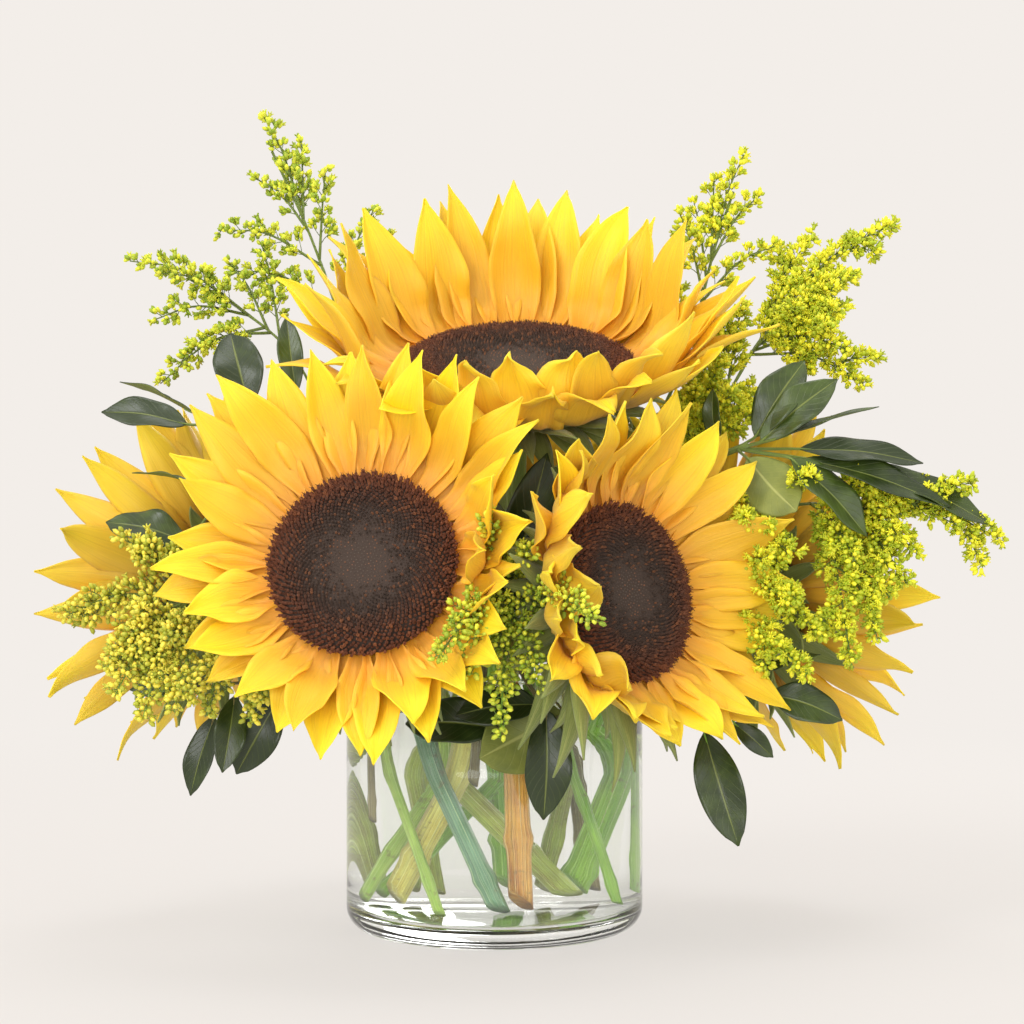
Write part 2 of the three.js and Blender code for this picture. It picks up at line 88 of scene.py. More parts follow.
# Petal lengths and lifts go round the head in 45 degree steps from its right, over its top.
SUNFLOWERS = {
    "sunflower_top": dict(
        petals=48, width=25, lengths=[68, 74, 80, 76, 74, 60, 42, 54],
        lifts=[52, 66, 68, 68, 58, 42, 86, 62],
        stem=4.6, lip=(6, -20), foot=(10, -36), tint="amber"),
    "sunflower_front_left": dict(
        petals=40, width=21, lengths=[42, 60, 60, 64, 50, 40, 52, 48],
        lifts=[72, 46, 40, 26, 24, 28, 24, 34],
        stem=3.8, lip=(-40, -32), foot=(3, -47), tint="blue"),
    "sunflower_front_right": dict(
        petals=40, width=20, lengths=[58, 62, 54, 46, 38, 34, 38, 56],
        lifts=[32, 34, 46, 66, 92, 74, 50, 26], hang=0.85,
        stem=4.8, lip=(6, -38), foot=(-36, -14), tint="straw"),
    "sunflower_back_left": dict(
        petals=36, width=18, lengths=[60, 60, 60, 56, 52, 52, 58, 62],
        lifts=[38, 40, 42, 40, 40, 40, 38, 38],
        stem=4.0, lip=(-50, 12), foot=(25, 4), tint="olive"),
    "sunflower_back_right": dict(
        petals=36, width=18, lengths=[48, 74, 66, 62, 60, 62, 66, 56],
        lifts=[40, 26, 40, 40, 38, 38, 36, 38],
        stem=4.5, lip=(50, 16), foot=(22, 22), tint="green"),
    "sunflower_back": dict(
        petals=34, width=17, lengths=[44, 50, 54, 50, 44, 46, 50, 46],
        lifts=[52, 44, 40, 44, 52, 44, 40, 44],
        stem=4.3, lip=(0, 36), foot=(4, 31), tint="green"),
}

# How a goldenrod's side shoots are set: space between branchlets, their greatest length, where
# their buds begin, least and largest bud, share of open flowers, length of the stalk under each
# bud, and how often a shoot forks.
HABITS = {
    "airy": dict(spacing=2.7, spread=8.0, bare=0.5, least=1.6, most=2.5, open=0.2, stalk=0.3,
                 forks=0),
    "full": dict(spacing=1.9, spread=8.4, bare=0.35, least=1.6, most=2.5, open=0.5, stalk=0.4,
                 forks=2),
    "hanging": dict(spacing=2.2, spread=9.5, bare=0.25, least=1.6, most=2.4, open=0.08,
                    stalk=1.5, forks=0),
    "beaded": dict(spacing=2.1, spread=10.0, bare=0.25, least=1.7, most=2.5, open=0.08,
                   stalk=1.5, forks=2),
}

# Each goldenrod: the stem's route above the lip, and the tips of its flowering side shoots.
GOLDENROD = {
    "goldenrod_tall_left": dict(
        stem=2.4, tint="olive", lip=(-28, 38), foot=(-16, 33), hue="lime", habit="airy",
        route=[(-50, 44, 190), (-69, 42, 262), (-84, 48, 304), (-101, 52, 341)],
        tips=[(-125, 50, 305), (-110, 58, 330), (-76, 42, 331), (-54, 42, 314), (-46, 38, 300),
              (-88, 56, 345), (-120, 46, 286), (-105, 52, 357)]),
    "goldenrod_left": dict(
        stem=2.3, tint="straw", lip=(-46, 26), foot=(-46, 20), hue="lime", habit="airy",
        route=[(-66, 36, 185), (-88, 34, 245), (-113, 35, 268), (-135, 30, 281)],
        tips=[(-150, 20, 262), (-146, 12, 282), (-120, 42, 290), (-105, 46, 298), (-138, 22, 244),
              (-146, 16, 234), (-160, 20, 288)]),
    "goldenrod_tall_right": dict(
        stem=2.4, tint="olive", lip=(26, 38), foot=(12, 44), hue="yellow", habit="airy",
        route=[(60, 46, 190), (86, 44, 250), (99, 46, 298), (107, 46, 322)],
        tips=[(82, 42, 313), (90, 54, 318), (99, 52, 329), (119, 42, 320), (124, 32, 296),
              (70, 52, 290), (112, 48, 339)]),
    "goldenrod_right": dict(
        stem=2.6, tint="green", lip=(33, 10), foot=(-33, 26), hue="yellow", habit="full",
        route=[(70, 14, 180), (104, 28, 232), (120, 36, 257), (142, 34, 276)],
        tips=[(157, 14, 281), (143, 46, 302), (154, 14, 266), (146, 8, 258), (160, 4, 232),
              (152, 2, 248), (98, -6, 243), (101, -22, 228), (112, -26, 220), (176, 26, 305),
              (88, 14, 264), (86, 4, 236), (96, -2, 212), (108, 12, 268), (122, 0, 228),
              (136, 20, 268)]),
    "goldenrod_low_right": dict(
        stem=2.4, tint="green", lip=(52, -6), foot=(44, 12), hue="yellow", habit="full",
        route=[(80, -14, 146), (106, -18, 170), (128, -16, 181), (166, -24, 178)],
        tips=[(126, -68, 113), (145, -58, 116), (157, -48, 126), (171, -38, 148), (193, -36, 172),
              (114, -58, 172), (131, -48, 193), (161, -38, 190), (212, -30, 166),
              (120, -64, 140), (133, -60, 128), (148, -48, 158), (176, -36, 160),
              (122, -58, 162), (186, -30, 184)]),
    "goldenrod_low_left": dict(
        stem=2.2, tint="light", lip=(-52, -8), foot=(-20, -44), hue="golden", habit="beaded",
        route=[(-76, -32, 132), (-100, -50, 142), (-124, -60, 142), (-146, -66, 140)],
        tips=[(-152, -88, 116), (-148, -90, 106), (-137, -92, 96), (-124, -94, 100),
              (-112, -88, 98), (-96, -80, 95), (-150, -68, 168), (-130, -66, 162),
              (-172, -70, 136)]),
    "goldenrod_front": dict(
        stem=2.1, tint="green", lip=(14, -50), foot=(20, -48, 62), hue="lime", habit="hanging",
        route=[(10, -74, 133), (4, -98, 147)],
        tips=[(3, -125, 94), (17, -120, 112), (14, -116, 163), (38, -140, 138), (-7, -126, 130),
              (-10, -124, 116), (-20, -138, 124), (-2, -112, 174)]),
    "goldenrod_back": dict(
        stem=2.4, tint="olive", lip=(-13, 52), foot=(-22, 44), hue="yellow", habit="airy",
        route=[(-44, 50, 165), (-44, 58, 215), (-36, 66, 252)],
        tips=[(-64, 66, 266), (-6, 76, 262), (-54, 86, 240), (-18, 88, 246), (-34, 90, 262),
              (-70, 70, 230), (-36, 74, 290)]),
}

# Each leafy branch: the twig's route above the lip, then each leaf's base, tip, width and the
# direction that its upper side faces.
FOLIAGE = {
    "foliage_left": dict(
        stem=2.2, tint="olive", lip=(-42, 38), foot=(-30, 36),
        route=[(-58, -8, 168), (-82, -34, 200), (-104, -42, 216)],
        leaves=[((-102, -30, 222), (-112, -14, 254), 21, (0, -1, 0.2)),
                ((-84, -14, 228), (-89, -6, 262), 11, (0, -1, 0)),
                ((-126, -44, 214), (-162, -40, 220), 15, (0, -0.9, 0.7)),
                ((-124, -38, 219), (-156, -30, 233), 8, (0, 0.2, 1)),
                ((-126, -46, 166), (-160, -40, 174), 19, (0.2, -0.9, 0.6)),
                ((-122, -50, 190), (-148, -48, 194), 8, (0, 0, 1))]),
    "foliage_low_left": dict(
        stem=2.0, tint="brown", lip=(-48, -22), foot=(-46, -24, 48),
        route=[(-60, -36, 121), (-80, -52, 118), (-96, -60, 108)],
        leaves=[((-112, -64, 96), (-122, -66, 64), 12, (-0.3, -1, 0)),
                ((-104, -64, 104), (-108, -72, 74), 13, (0.3, -1, 0)),
                ((-86, -62, 104), (-104, -60, 72), 18, (0, -1, 0)),
                ((-116, -56, 108), (-148, -54, 106), 11, (0, -1, 0.5))]),
    "foliage_right": dict(
        stem=2.8, tint="light", lip=(8, -4), foot=(-46, -4),
        route=[(36, -8, 158), (74, -26, 192), (105, -38, 206)],
        leaves=[((108, -38, 209), (129, -32, 241), 18, (-0.4, -1, 0.2)),
                ((110, -40, 207), (142, -38, 233), 17, (-0.2, -1, 0.5)),
                ((116, -42, 208), (159, -40, 222), 7, (0, -0.4, 1)),
                ((92, -38, 206), (90, -40, 229), 9, (-0.6, -1, 0)),
                ((104, -46, 200), (123, -54, 178), 24, (0, 1, -0.2)),
                ((126, -40, 204), (178, -36, 199), 15, (0, -0.8, 0.8)),
                ((128, -42, 200), (189, -40, 181), 15, (0, -0.8, 0.8)),
                ((152, -34, 197), (208, -32, 173), 17, (0.2, -0.8, 0.8)),
                ((122, -44, 200), (153, -46, 168), 18, (0.4, -0.9, 0.5))]),
    "foliage_low_right": dict(
        stem=2.4, tint="green", lip=(14, -26), foot=(47, -21),
        route=[(50, -34, 124), (80, -42, 120), (102, -46, 112)],
        leaves=[((112, -50, 104), (142, -56, 94), 17, (0.2, -1, 0.5)),
                ((110, -46, 113), (134, -46, 120), 9, (0, -0.6, 1)),
                ((86, -50, 88), (99, -60, 43), 19, (-0.2, -1, 0.2)),
                ((98, -50, 92), (114, -52, 78), 9, (0.3, -1, 0))]),
    "foliage_front": dict(
        stem=2.0, tint="brown", lip=(-4, -52), foot=(-8, -50, 66),
        route=[(-2, -62, 123), (6, -74, 124)],
        leaves=[((2, -74, 92), (-35, -72, 94), 20, (0, -0.9, 0.5)),
                ((18, -78, 102), (-15, -80, 98), 18, (0, -0.9, 0.5)),
                ((28, -76, 98), (-6, -78, 80), 30, (-0.2, 1, -0.2)),
                ((21, -79, 100), (20, -78, 56), 19, (0.3, -1, 0)),
                ((6, -78, 132), (-1, -84, 186), 15, (0.5, -1, 0.2)),
                ((4, -70, 138), (22, -62, 202), 22, (0.1, -1, 0.1)),
                ((0, -70, 134), (-14, -60, 196), 20, (-0.1, -1, 0.1))]),
    "foliage_back": dict(
        stem=2.2, tint="brown", lip=(16, 52), foot=(24, 44),
        route=[(44, 50, 162), (50, 56, 204)],
        leaves=[((50, 58, 206), (58, 68, 250), 19, (0, 1, 0.2)),
                ((48, 56, 196), (84, 66, 224), 19, (0.3, 1, 0.3)),
                ((44, 60, 200), (14, 78, 238), 20, (-0.3, 1, 0.4)),
                ((50, 54, 180), (88, 62, 182), 18, (0.3, 1, 0.3)),
                ((20, 72, 115), (44, 98, 84), 22, (0.3, 1, 0.4)),
                ((10, 74, 114), (-20, 100, 82), 22, (-0.3, 1, 0.4)),
                ((32, 66, 122), (72, 84, 104), 18, (0.3, 1, 0.5)),
                ((-2, 70, 116), (-48, 78, 100), 19, (-0.3, 1, 0.5))]),
}


# ---- small maths
def mm(point):
    return Vector(point) * MM


def smoothstep(low, high, value):
    share = min(max((value - low) / (high - low), 0.0), 1.0)
    return share * share * (3 - 2 * share)


def around(values, angle):
    """A value from a list that goes round the head in equal steps, eased between the steps."""
    place = (angle / math.tau) % 1.0 * len(values)
    step = int(place) % len(values)
    share = smoothstep(0, 1, place - int(place))
    return values[step] * (1 - share) + values[(step + 1) % len(values)] * share


def spline(points, per_span=14):
    """Points along a centripetal Catmull-Rom curve through the given points."""
    ends = [points[0] * 2 - points[1], *points, points[-1] * 2 - points[-2]]
    out = [points[0].copy()]
    for p0, p1, p2, p3 in zip(ends, ends[1:], ends[2:], ends[3:]):
        t1 = math.sqrt((p1 - p0).length)
        t2 = t1 + math.sqrt((p2 - p1).length)
        t3 = t2 + math.sqrt((p3 - p2).length)
        for k in range(1, per_span + 1):
            t = t1 + (t2 - t1) * k / per_span
            a1 = p0.lerp(p1, t / t1)
            a2 = p1.lerp(p2, (t - t1) / (t2 - t1))
            a3 = p2.lerp(p3, (t - t2) / (t3 - t2))
            b1 = a1.lerp(a2, t / t2)
            b2 = a2.lerp(a3, (t - t1) / (t3 - t1))
            out.append(b1.lerp(b2, (t - t1) / (t2 - t1)))
    return out


class Route:
    """A path with its length and a frame that doesn't spin along it."""

    def __init__(self, points, side=None):
        self.points = points
        steps = [0.0] + [(b - a).length for a, b in zip(points, points[1:])]
        self.reach = np.cumsum(steps)
        self.length = float(self.reach[-1])
        tangents = []
        for i in range(len(points)):
            ahead = points[min(i + 1, len(points) - 1)] - points[max(i - 1, 0)]
            tangents.append(ahead.normalized())
        self.tangents = tangents
        side = side or tangents[0].orthogonal()
        self.sides = []
        for tangent in tangents:
            side = (side - tangent * side.dot(tangent)).normalized()
            self.sides.append(side.copy())

    def at(self, share):
        """Point, tangent, side and up vectors a share of the way along."""
        distance = min(max(share, 0.0), 1.0) * self.length
        i = min(max(int(np.searchsorted(self.reach, distance)) - 1, 0), len(self.points) - 2)
        span = self.reach[i + 1] - self.reach[i]
        part = (distance - self.reach[i]) / span if span > 0 else 0.0
        point = self.points[i].lerp(self.points[i + 1], part)
        tangent = self.tangents[i].lerp(self.tangents[i + 1], part).normalized()
        side = self.sides[i].lerp(self.sides[i + 1], part)
        side = (side - tangent * side.dot(tangent)).normalized()
        return point, tangent, side, tangent.cross(side)

    def nearest(self, target):
        """The share of the way along that comes nearest to a point."""
        best = min(range(len(self.points)), key=lambda i: (self.points[i] - target).length)
        return float(self.reach[best] / self.length)


def basis(origin, x, y, z, scale=1.0):
    """A matrix that takes a template's own axes to these."""
    turned = Matrix((x, y, z)).transposed().to_4x4()
    return Matrix.Translation(origin) @ turned @ Matrix.Scale(scale, 4)


def aimed(origin, axis, spin=0.0, scale=1.0):
    """A matrix that stands a template's +Z along an axis."""
    z = axis.normalized()
    x = z.orthogonal().normalized()
    turned = basis(origin, x, z.cross(x), z, scale)
    return turned @ Matrix.Rotation(spin, 4, "Z")


# ---- mesh helpers
def as_mesh(bm, sheet=False):
    """Turns a bmesh into a mesh. A closed body's faces are turned outwards, a sheet's are kept."""
    if not sheet:
        bmesh.ops.recalc_face_normals(bm, faces=bm.faces[:])
    mesh = bpy.data.meshes.new("template")
    bm.to_mesh(mesh)
    bm.free()
    return mesh


def stamp(bm, template, matrix, **levels):
    """Adds a copy of a template mesh, with one level of each named attribute all over it."""
    copy = template.copy()
    copy.transform(matrix)
    for name, level in levels.items():
        copy.attributes[name].data.foreach_set("value", [level] * len(copy.vertices))
    bm.from_mesh(copy)
    bpy.data.meshes.remove(copy)


def append(bm, part, sheet=False):
    """Adds a finished part to a piece."""
    mesh = as_mesh(part, sheet=sheet)
    bm.from_mesh(mesh)
    bpy.data.meshes.remove(mesh)


def new_template(*layers):
    """An empty bmesh with a UV map, a tone for each vertex and any other named levels."""
    bm = bmesh.new()
    for name in ("tone", *layers):
        bm.verts.layers.float.new(name)
    bm.loops.layers.uv.new("UVMap")
    return bm


def sheet_grid(bm, across, along):
    """A flat grid whose vertices come back with u from -1 to 1 and v from 0 to 1."""
    made = bmesh.ops.create_grid(bm, x_segments=across, y_segments=along, size=1.0, calc_uvs=True)
    return [(vert, vert.co.x, (vert.co.y + 1) / 2) for vert in made["verts"]]


def tube(bm, route, radius, sides, steps):
    """A closed tube along a route, of a radius given by a function of share and angle."""
    part = new_template()
    for vert, u, v in sheet_grid(part, sides, steps):
        angle = math.pi * (u + 1)
        point, _, side, up = route.at(v)
        out = side * math.cos(angle) + up * math.sin(angle)
        vert.co = point + out * radius(v, angle)
    bmesh.ops.remove_doubles(part, verts=part.verts[:], dist=1e-7)
    rims = [edge for edge in part.edges if edge.is_boundary]
    bmesh.ops.holes_fill(part, edges=rims, sides=0)
    append(bm, part)


def lathe(bm, profile, matrix, steps):
    """A closed body spun from (radius, height) points that start and end on the axis."""
    verts = [bm.verts.new((r, 0, z)) for r, z in profile]
    edges = [bm.edges.new(pair) for pair in zip(verts, verts[1:])]
    bmesh.ops.spin(bm, geom=verts + edges, cent=(0, 0, 0), axis=(0, 0, 1), angle=math.tau,
                   steps=steps, use_merge=True)
    bmesh.ops.remove_doubles(bm, verts=bm.verts[:], dist=1e-7)
    bmesh.ops.recalc_face_normals(bm, faces=bm.faces[:])
    bmesh.ops.transform(bm, matrix=matrix, verts=bm.verts[:])


def cone(bm, segments, foot, top, depth, matrix):
    """Adds a cut cone with these foot and top radii, centred on the matrix's place."""
    bmesh.ops.create_cone(bm, cap_ends=True, segments=segments, radius1=foot, radius2=top,
                          depth=depth, matrix=matrix)


def moved(x, z):
    """A matrix that moves a part sideways and up."""
    return Matrix.Translation((x, 0, z))


def climb(root, slopes, step):
    """Places (out, up) along a profile that rises at these slopes, a step at a time."""
    places = [root]
    for slope in slopes:
        far, high = places[-1]
        places.append((far + step * math.cos(slope), high + step * math.sin(slope)))
    return places


def arc(centre, radius, start, stop, steps):
    """Profile points on an arc, angles in degrees."""
    out = []
    for k in range(steps + 1):
        angle = math.radians(start + (stop - start) * k / steps)
        out.append((centre[0] + radius * math.cos(angle), centre[1] + radius * math.sin(angle)))
    return out


def add_piece(name, source, materials, nodes, thickness=0.0):
    """Makes the piece from a bmesh, rides it on the root and stands it for its CAD nodes."""
    mesh = bpy.data.meshes.new(name)
    source.to_mesh(mesh)
    source.free()
    for material in materials:
        mesh.materials.append(material)
    mesh.shade_smooth()
    piece = bpy.data.objects.new(name, mesh)
    bpy.context.scene.collection.objects.link(piece)
    if thickness:
        skin = piece.modifiers.new("thickness", "SOLIDIFY")
        skin.thickness = thickness * MM
        skin.offset = 0.0
        skin.material_offset = 1 if len(materials) > 1 else 0
        skin.material_offset_rim = 0
    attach(piece, "root")
    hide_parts(*nodes)
    return piece


# ---- shader helpers
class Value:
    """A shader socket that can be written in sums."""

    def __init__(self, shader, socket):
        self.shader = shader
        self.socket = socket

    def _math(self, operation, *inputs):
        return self.shader.node("ShaderNodeMath", {"operation": operation}, *inputs)

    def __add__(self, other):
        return self._math("ADD", self, other)

    def __radd__(self, other):
        return self._math("ADD", other, self)

    def __sub__(self, other):
        return self._math("SUBTRACT", self, other)

    def __rsub__(self, other):
        return self._math("SUBTRACT", other, self)

    def __mul__(self, other):
        return self._math("MULTIPLY", self, other)

    def sine(self):
        return self._math("SINE", self)

    def absolute(self):
        return self._math("ABSOLUTE", self)

    def step(self, low, high):
        settings = {"interpolation_type": "SMOOTHSTEP"}
        return self.shader.node("ShaderNodeMapRange", settings, self, low, high, 0.0, 1.0)


class Shader:
    """A material with one Principled surface and a method that adds any other node."""

    def __init__(self, name, roughness=0.5, **uniform):
        self.material = bpy.data.materials.new(name)
        self.material.use_nodes = True
        self.tree = self.material.node_tree
        self.surface = self.tree.nodes["Principled BSDF"]
        self.surface.inputs["Roughness"].default_value = roughness
        for key, value in uniform.items():
            self.surface.inputs[key.replace("_", " ")].default_value = value

    def node(self, kind, settings, *inputs, output=0, **named):
        """Adds a node: its type, its settings, then its sockets in order or by name."""
        made = self.tree.nodes.new(kind)
        for key, value in settings.items():
            setattr(made, key, value)
        for place, value in [*enumerate(inputs), *named.items()]:
            self.feed(made.inputs[place if isinstance(place, int) else place.replace("_", " ")],
                      value)
        return Value(self, made.outputs[output])

    def feed(self, socket, value):
        if isinstance(value, Value):
            self.tree.links.new(value.socket, socket)
        else:
            socket.default_value = value

    def set(self, name, value):
        self.feed(self.surface.inputs[name], value)

    def object_place(self):
        return self.node("ShaderNodeTexCoord", {}, output="Object")

    def parts(self, place):
        """The x, y and z of a place."""
        first = self.node("ShaderNodeSeparateXYZ", {}, place)
        return [Value(self, socket) for socket in first.socket.node.outputs]

    def height(self):
        return self.parts(self.object_place())[2]

    def uv(self):
        """The place on the piece's UV map, how far across it is and how far along."""
        place = self.node("ShaderNodeUVMap", {"uv_map": "UVMap"})
        across, along, _ = self.parts(place)
        return place, across, along

    def attribute(self, name):
        return self.node("ShaderNodeAttribute", {"attribute_name": name}, output="Fac")

    def grain(self, scale, detail):
        """Even noise through the whole piece."""
        return self.node("ShaderNodeTexNoise", {}, Vector=self.object_place(), Scale=scale,
                         Detail=detail)

    def streaks(self, place, across, along, detail):
        """Noise that is drawn out along a petal, a leaf or a stem."""
        scale = (across, along, 1)
        drawn = self.node("ShaderNodeVectorMath", {"operation": "MULTIPLY"}, place, scale)
        return self.node("ShaderNodeTexNoise", {}, Vector=drawn, Scale=1.0, Detail=detail)

    def mix(self, share, first, second):
        """A colour between two others, on the sockets that a Mix node keeps for colours."""
        mixed = self.node("ShaderNodeMix", {"data_type": "RGBA"}, share, output=2)
        sockets = mixed.socket.node.inputs
        self.feed(sockets[6], first)
        self.feed(sockets[7], second)
        return mixed

    def tinted(self, colour, brightness):
        """A colour made lighter or darker by a value around 1."""
        grey = self.node("ShaderNodeCombineXYZ", {}, brightness, brightness, brightness)
        return self.node("ShaderNodeVectorMath", {"operation": "MULTIPLY"}, colour, grey)

    def bump(self, height, strength, distance):
        normal = self.node("ShaderNodeBump", {}, Strength=strength, Distance=distance * MM,
                           Height=height)
        self.set("Normal", normal)


def srgb(red, green, blue):
    """A display colour, 0 to 255, as the linear colour that a shader takes."""
    out = []
    for level in (red, green, blue):
        level /= 255
        out.append(level / 12.92 if level <= 0.04045 else ((level + 0.055) / 1.055) ** 2.4)
    return (*out, 1.0)


# ---- materials
def petal_material(name, base, middle, tip, brightness):
    """Three colours from root to tip, with streaks and veins along the petal."""
    shader = Shader(name, roughness=0.52, Subsurface_Weight=0.22, Subsurface_Scale=0.004,
                    Sheen_Weight=0.08)
    shader.surface.inputs["Subsurface Radius"].default_value = (1.0, 0.6, 0.1)
    place, u, v = shader.uv()
    tone = shader.attribute("tone")
    streaks = shader.streaks(place, 26, 1.6, 3)
    veins = shader.streaks(place, 75, 2.2, 2)
    blotch = shader.grain(60.0, 2)
    lower = shader.mix(v.step(0.04, 0.5), srgb(*base), srgb(*middle))
    colour = shader.mix((v + tone * 0.3 - 0.15 + streaks * 0.3 - 0.15).step(0.42, 1.08),
                        lower, srgb(*tip))
    edge = ((u - 0.5).absolute() * 2.0).step(0.55, 1.0)
    light = brightness + streaks * 0.26 + veins * 0.16 + tone * 0.16 + edge * 0.06 \
        + blotch * 0.12 - 0.36
    shader.set("Base Color", shader.tinted(colour, light))
    shader.bump(veins * 0.6 + streaks * 0.8, 0.55, 0.5)
    return shader.material


def disc_material():
    """Florets that go from dark grey-brown in the middle to rust at the rim."""
    shader = Shader("floret_brown", roughness=0.85)
    zone = shader.attribute("zone")
    tone = shader.attribute("tone")
    grain = shader.grain(1500.0, 2)
    centre = shader.mix(zone.step(0.06, 0.42), srgb(86, 74, 64), srgb(66, 50, 40))
    colour = shader.mix(zone.step(0.5, 0.98), centre, srgb(104, 56, 32))
    colour = shader.mix((tone * 1.2 - 0.35 + grain * 0.3).step(0.62, 1.0) * 0.5, colour,
                        srgb(134, 80, 44))
    shader.set("Base Color", shader.tinted(colour, 0.6 + tone * 0.4 + grain * 0.3))
    shader.bump(grain, 0.3, 0.2)
    return shader.material


def bract_material():
    """Pale streaked green under fine hairs."""
    shader = Shader("bract_green", roughness=0.6, Sheen_Weight=0.2)
    place, _, v = shader.uv()
    tone = shader.attribute("tone")
    streaks = shader.streaks(place, 40, 2, 3)
    hairs = shader.grain(1800.0, 1)
    colour = shader.mix(v.step(0.0, 0.9), srgb(136, 146, 70), srgb(100, 118, 50))
    colour = shader.mix((streaks * 0.9).step(0.3, 0.7), colour, srgb(160, 164, 92))
    shader.set("Base Color", shader.tinted(colour, 0.7 + tone * 0.35 + hairs * 0.3))
    shader.bump(streaks + hairs * 0.5, 0.5, 0.4)
    return shader.material


def stem_material(name, fresh, aged, above=(132, 152, 74)):
    """Ribbed stem with pale ribs that are partly painted highlight strips, worn spots and short
    hairs; its colours under the water are painted lighter to stand in for light that doesn't reach
    it through the glass, and it turns greener above the water.
    """
    shader = Shader(name, roughness=0.3)
    place, _, _ = shader.uv()
    streaks = shader.streaks(place, 14, 7, 4)
    ribs_and_painted_highlights = shader.streaks(place, 40, 2.2, 2)
    patches = shader.grain(55.0, 4)
    spots = shader.grain(380.0, 3)
    hairs = shader.grain(1500.0, 1)
    colour = shader.mix((patches * 0.6 + streaks * 0.5).step(0.42, 0.68), srgb(*fresh),
                        srgb(*aged))
    # Pale rib streaks: partly the stem's own pale ribs, partly painted highlight strips.
    colour = shader.mix(ribs_and_painted_highlights.step(0.5, 0.74) * 0.5, colour, srgb(232, 238, 190))
    colour = shader.mix((spots + patches * 0.5).step(0.86, 1.0) * 0.5, colour, srgb(112, 92, 48))
    # Below the water the fresh and aged colours are painted lighter, standing in for light that
    # doesn't reach the stems through the glass; above it they fade to the plain colour.
    above_water = shader.height().step(WATER_LEVEL * MM, 1.5 * WATER_LEVEL * MM)
    colour = shader.mix(above_water, colour, srgb(*above))
    # Brightness swings with the streaks and ribs: partly the stem's own streaking, partly painted
    # highlight and shade that stand in for shading.
    shader.set("Base Color", shader.tinted(colour, 0.1 + streaks * 0.9 + ribs_and_painted_highlights * 1.1))
    shader.bump(ribs_and_painted_highlights * 2.0 + hairs * 0.4 + patches * 0.8, 0.8, 0.8)
    return shader.material


def goldenrod_material(name, bud, open_flower):
    """Flowers that vary from bud to bud and from clump to clump."""
    shader = Shader(name, roughness=0.6, Subsurface_Weight=0.12, Subsurface_Scale=0.002)
    tone = shader.attribute("tone")
    spots = shader.grain(700.0, 1)
    clumps = shader.grain(70.0, 2)
    share = (tone * 0.75 + clumps * 0.5 - 0.1).step(0.25, 0.75)
    colour = shader.mix(share, srgb(*bud), srgb(*open_flower))
    shader.set("Base Color", shader.tinted(colour, 0.6 + tone * 0.32 + spots * 0.35))
    shader.bump(spots, 0.4, 0.3)
    return shader.material


def leaf_material(name, dark, light, midrib, roughness, coat):
    """A mottled leaf with a pale midrib and side veins that slant from it."""
    shader = Shader(name, roughness=roughness, Coat_Roughness=0.22)
    _, u, v = shader.uv()
    tone = shader.attribute("tone")
    across = (u - 0.5).absolute() * 2.0
    rib = 1.0 - across.step(0.015, 0.07)
    side_veins = ((v - across * 0.28) * 62.0).sine().step(0.86, 1.0) * across.step(0.02, 0.2)
    mottle = shader.grain(120.0, 4)
    fine = shader.grain(900.0, 2)
    colour = shader.mix((mottle * 0.8 + tone * 0.4 - 0.2).step(0.25, 0.75), srgb(*dark),
                        srgb(*light))
    colour = shader.mix(side_veins * 0.1, colour, srgb(*midrib))
    colour = shader.mix(rib * 0.75, colour, srgb(*midrib))
    shader.set("Base Color", shader.tinted(colour, 0.72 + mottle * 0.3 + fine * 0.16
                                           + tone * 0.1))
    shader.set("Roughness", roughness + mottle * 0.14 - 0.05)
    shader.surface.inputs["Coat Weight"].default_value = coat
    shader.bump(fine * 0.35 + mottle * 0.6 - side_veins * 0.35 - rib * 0.9, 0.45, 0.5)
    return shader.material


def clear_material(name, tint, ior):
    shader = Shader(name, roughness=0.0, IOR=ior, Transmission_Weight=1.0)
    shader.surface.inputs["Base Color"].default_value = tint
    return shader.material


MATERIALS = {
    "petal": petal_material("petal_yellow", (226, 148, 34), (243, 183, 30), (248, 214, 22), 0.98),
    "petal_back": petal_material("petal_underside", (214, 158, 52), (232, 184, 48),
                                 (244, 210, 44), 0.94),
    "disc": disc_material(),
    "bract": bract_material(),
    # The fresh and aged stem colours are partly the stems' own colours, partly painted lighter to
    # stand in for light that doesn't reach them through the glass and water.
    "stem_blue": stem_material("stem_blue_green", (128, 172, 134), (84, 132, 84)),
    "stem_straw": stem_material("stem_straw", (228, 226, 120), (192, 180, 78)),
    "stem_olive": stem_material("stem_olive", (190, 212, 90), (154, 156, 64)),
    "stem_amber": stem_material("stem_amber", (236, 178, 72), (178, 112, 38)),
    "stem_light": stem_material("stem_light_green", (194, 228, 104), (152, 192, 72)),
    "stem_green": stem_material("stem_bright_green", (158, 212, 64), (116, 172, 46)),
    "stem_brown": stem_material("twig_brown", (160, 146, 96), (120, 112, 66), (104, 98, 56)),
    "lime": goldenrod_material("goldenrod_lime", (152, 178, 42), (212, 216, 58)),
    "yellow": goldenrod_material("goldenrod_yellow", (186, 202, 36), (238, 232, 50)),
    "golden": goldenrod_material("goldenrod_golden", (184, 190, 56), (238, 222, 78)),
    "leaf": leaf_material("leaf_upper", (35, 50, 12), (64, 82, 22), (116, 126, 56), 0.38, 0.12),
    "leaf_under": leaf_material("leaf_underside", (104, 114, 48), (130, 136, 60),
                                (168, 170, 96), 0.55, 0.0),
    "glass": clear_material("vase_glass", (0.975, 0.99, 0.98, 1), 1.5),
    "water": clear_material("water_clear", (0.985, 0.99, 0.98, 1), 1.333),
}


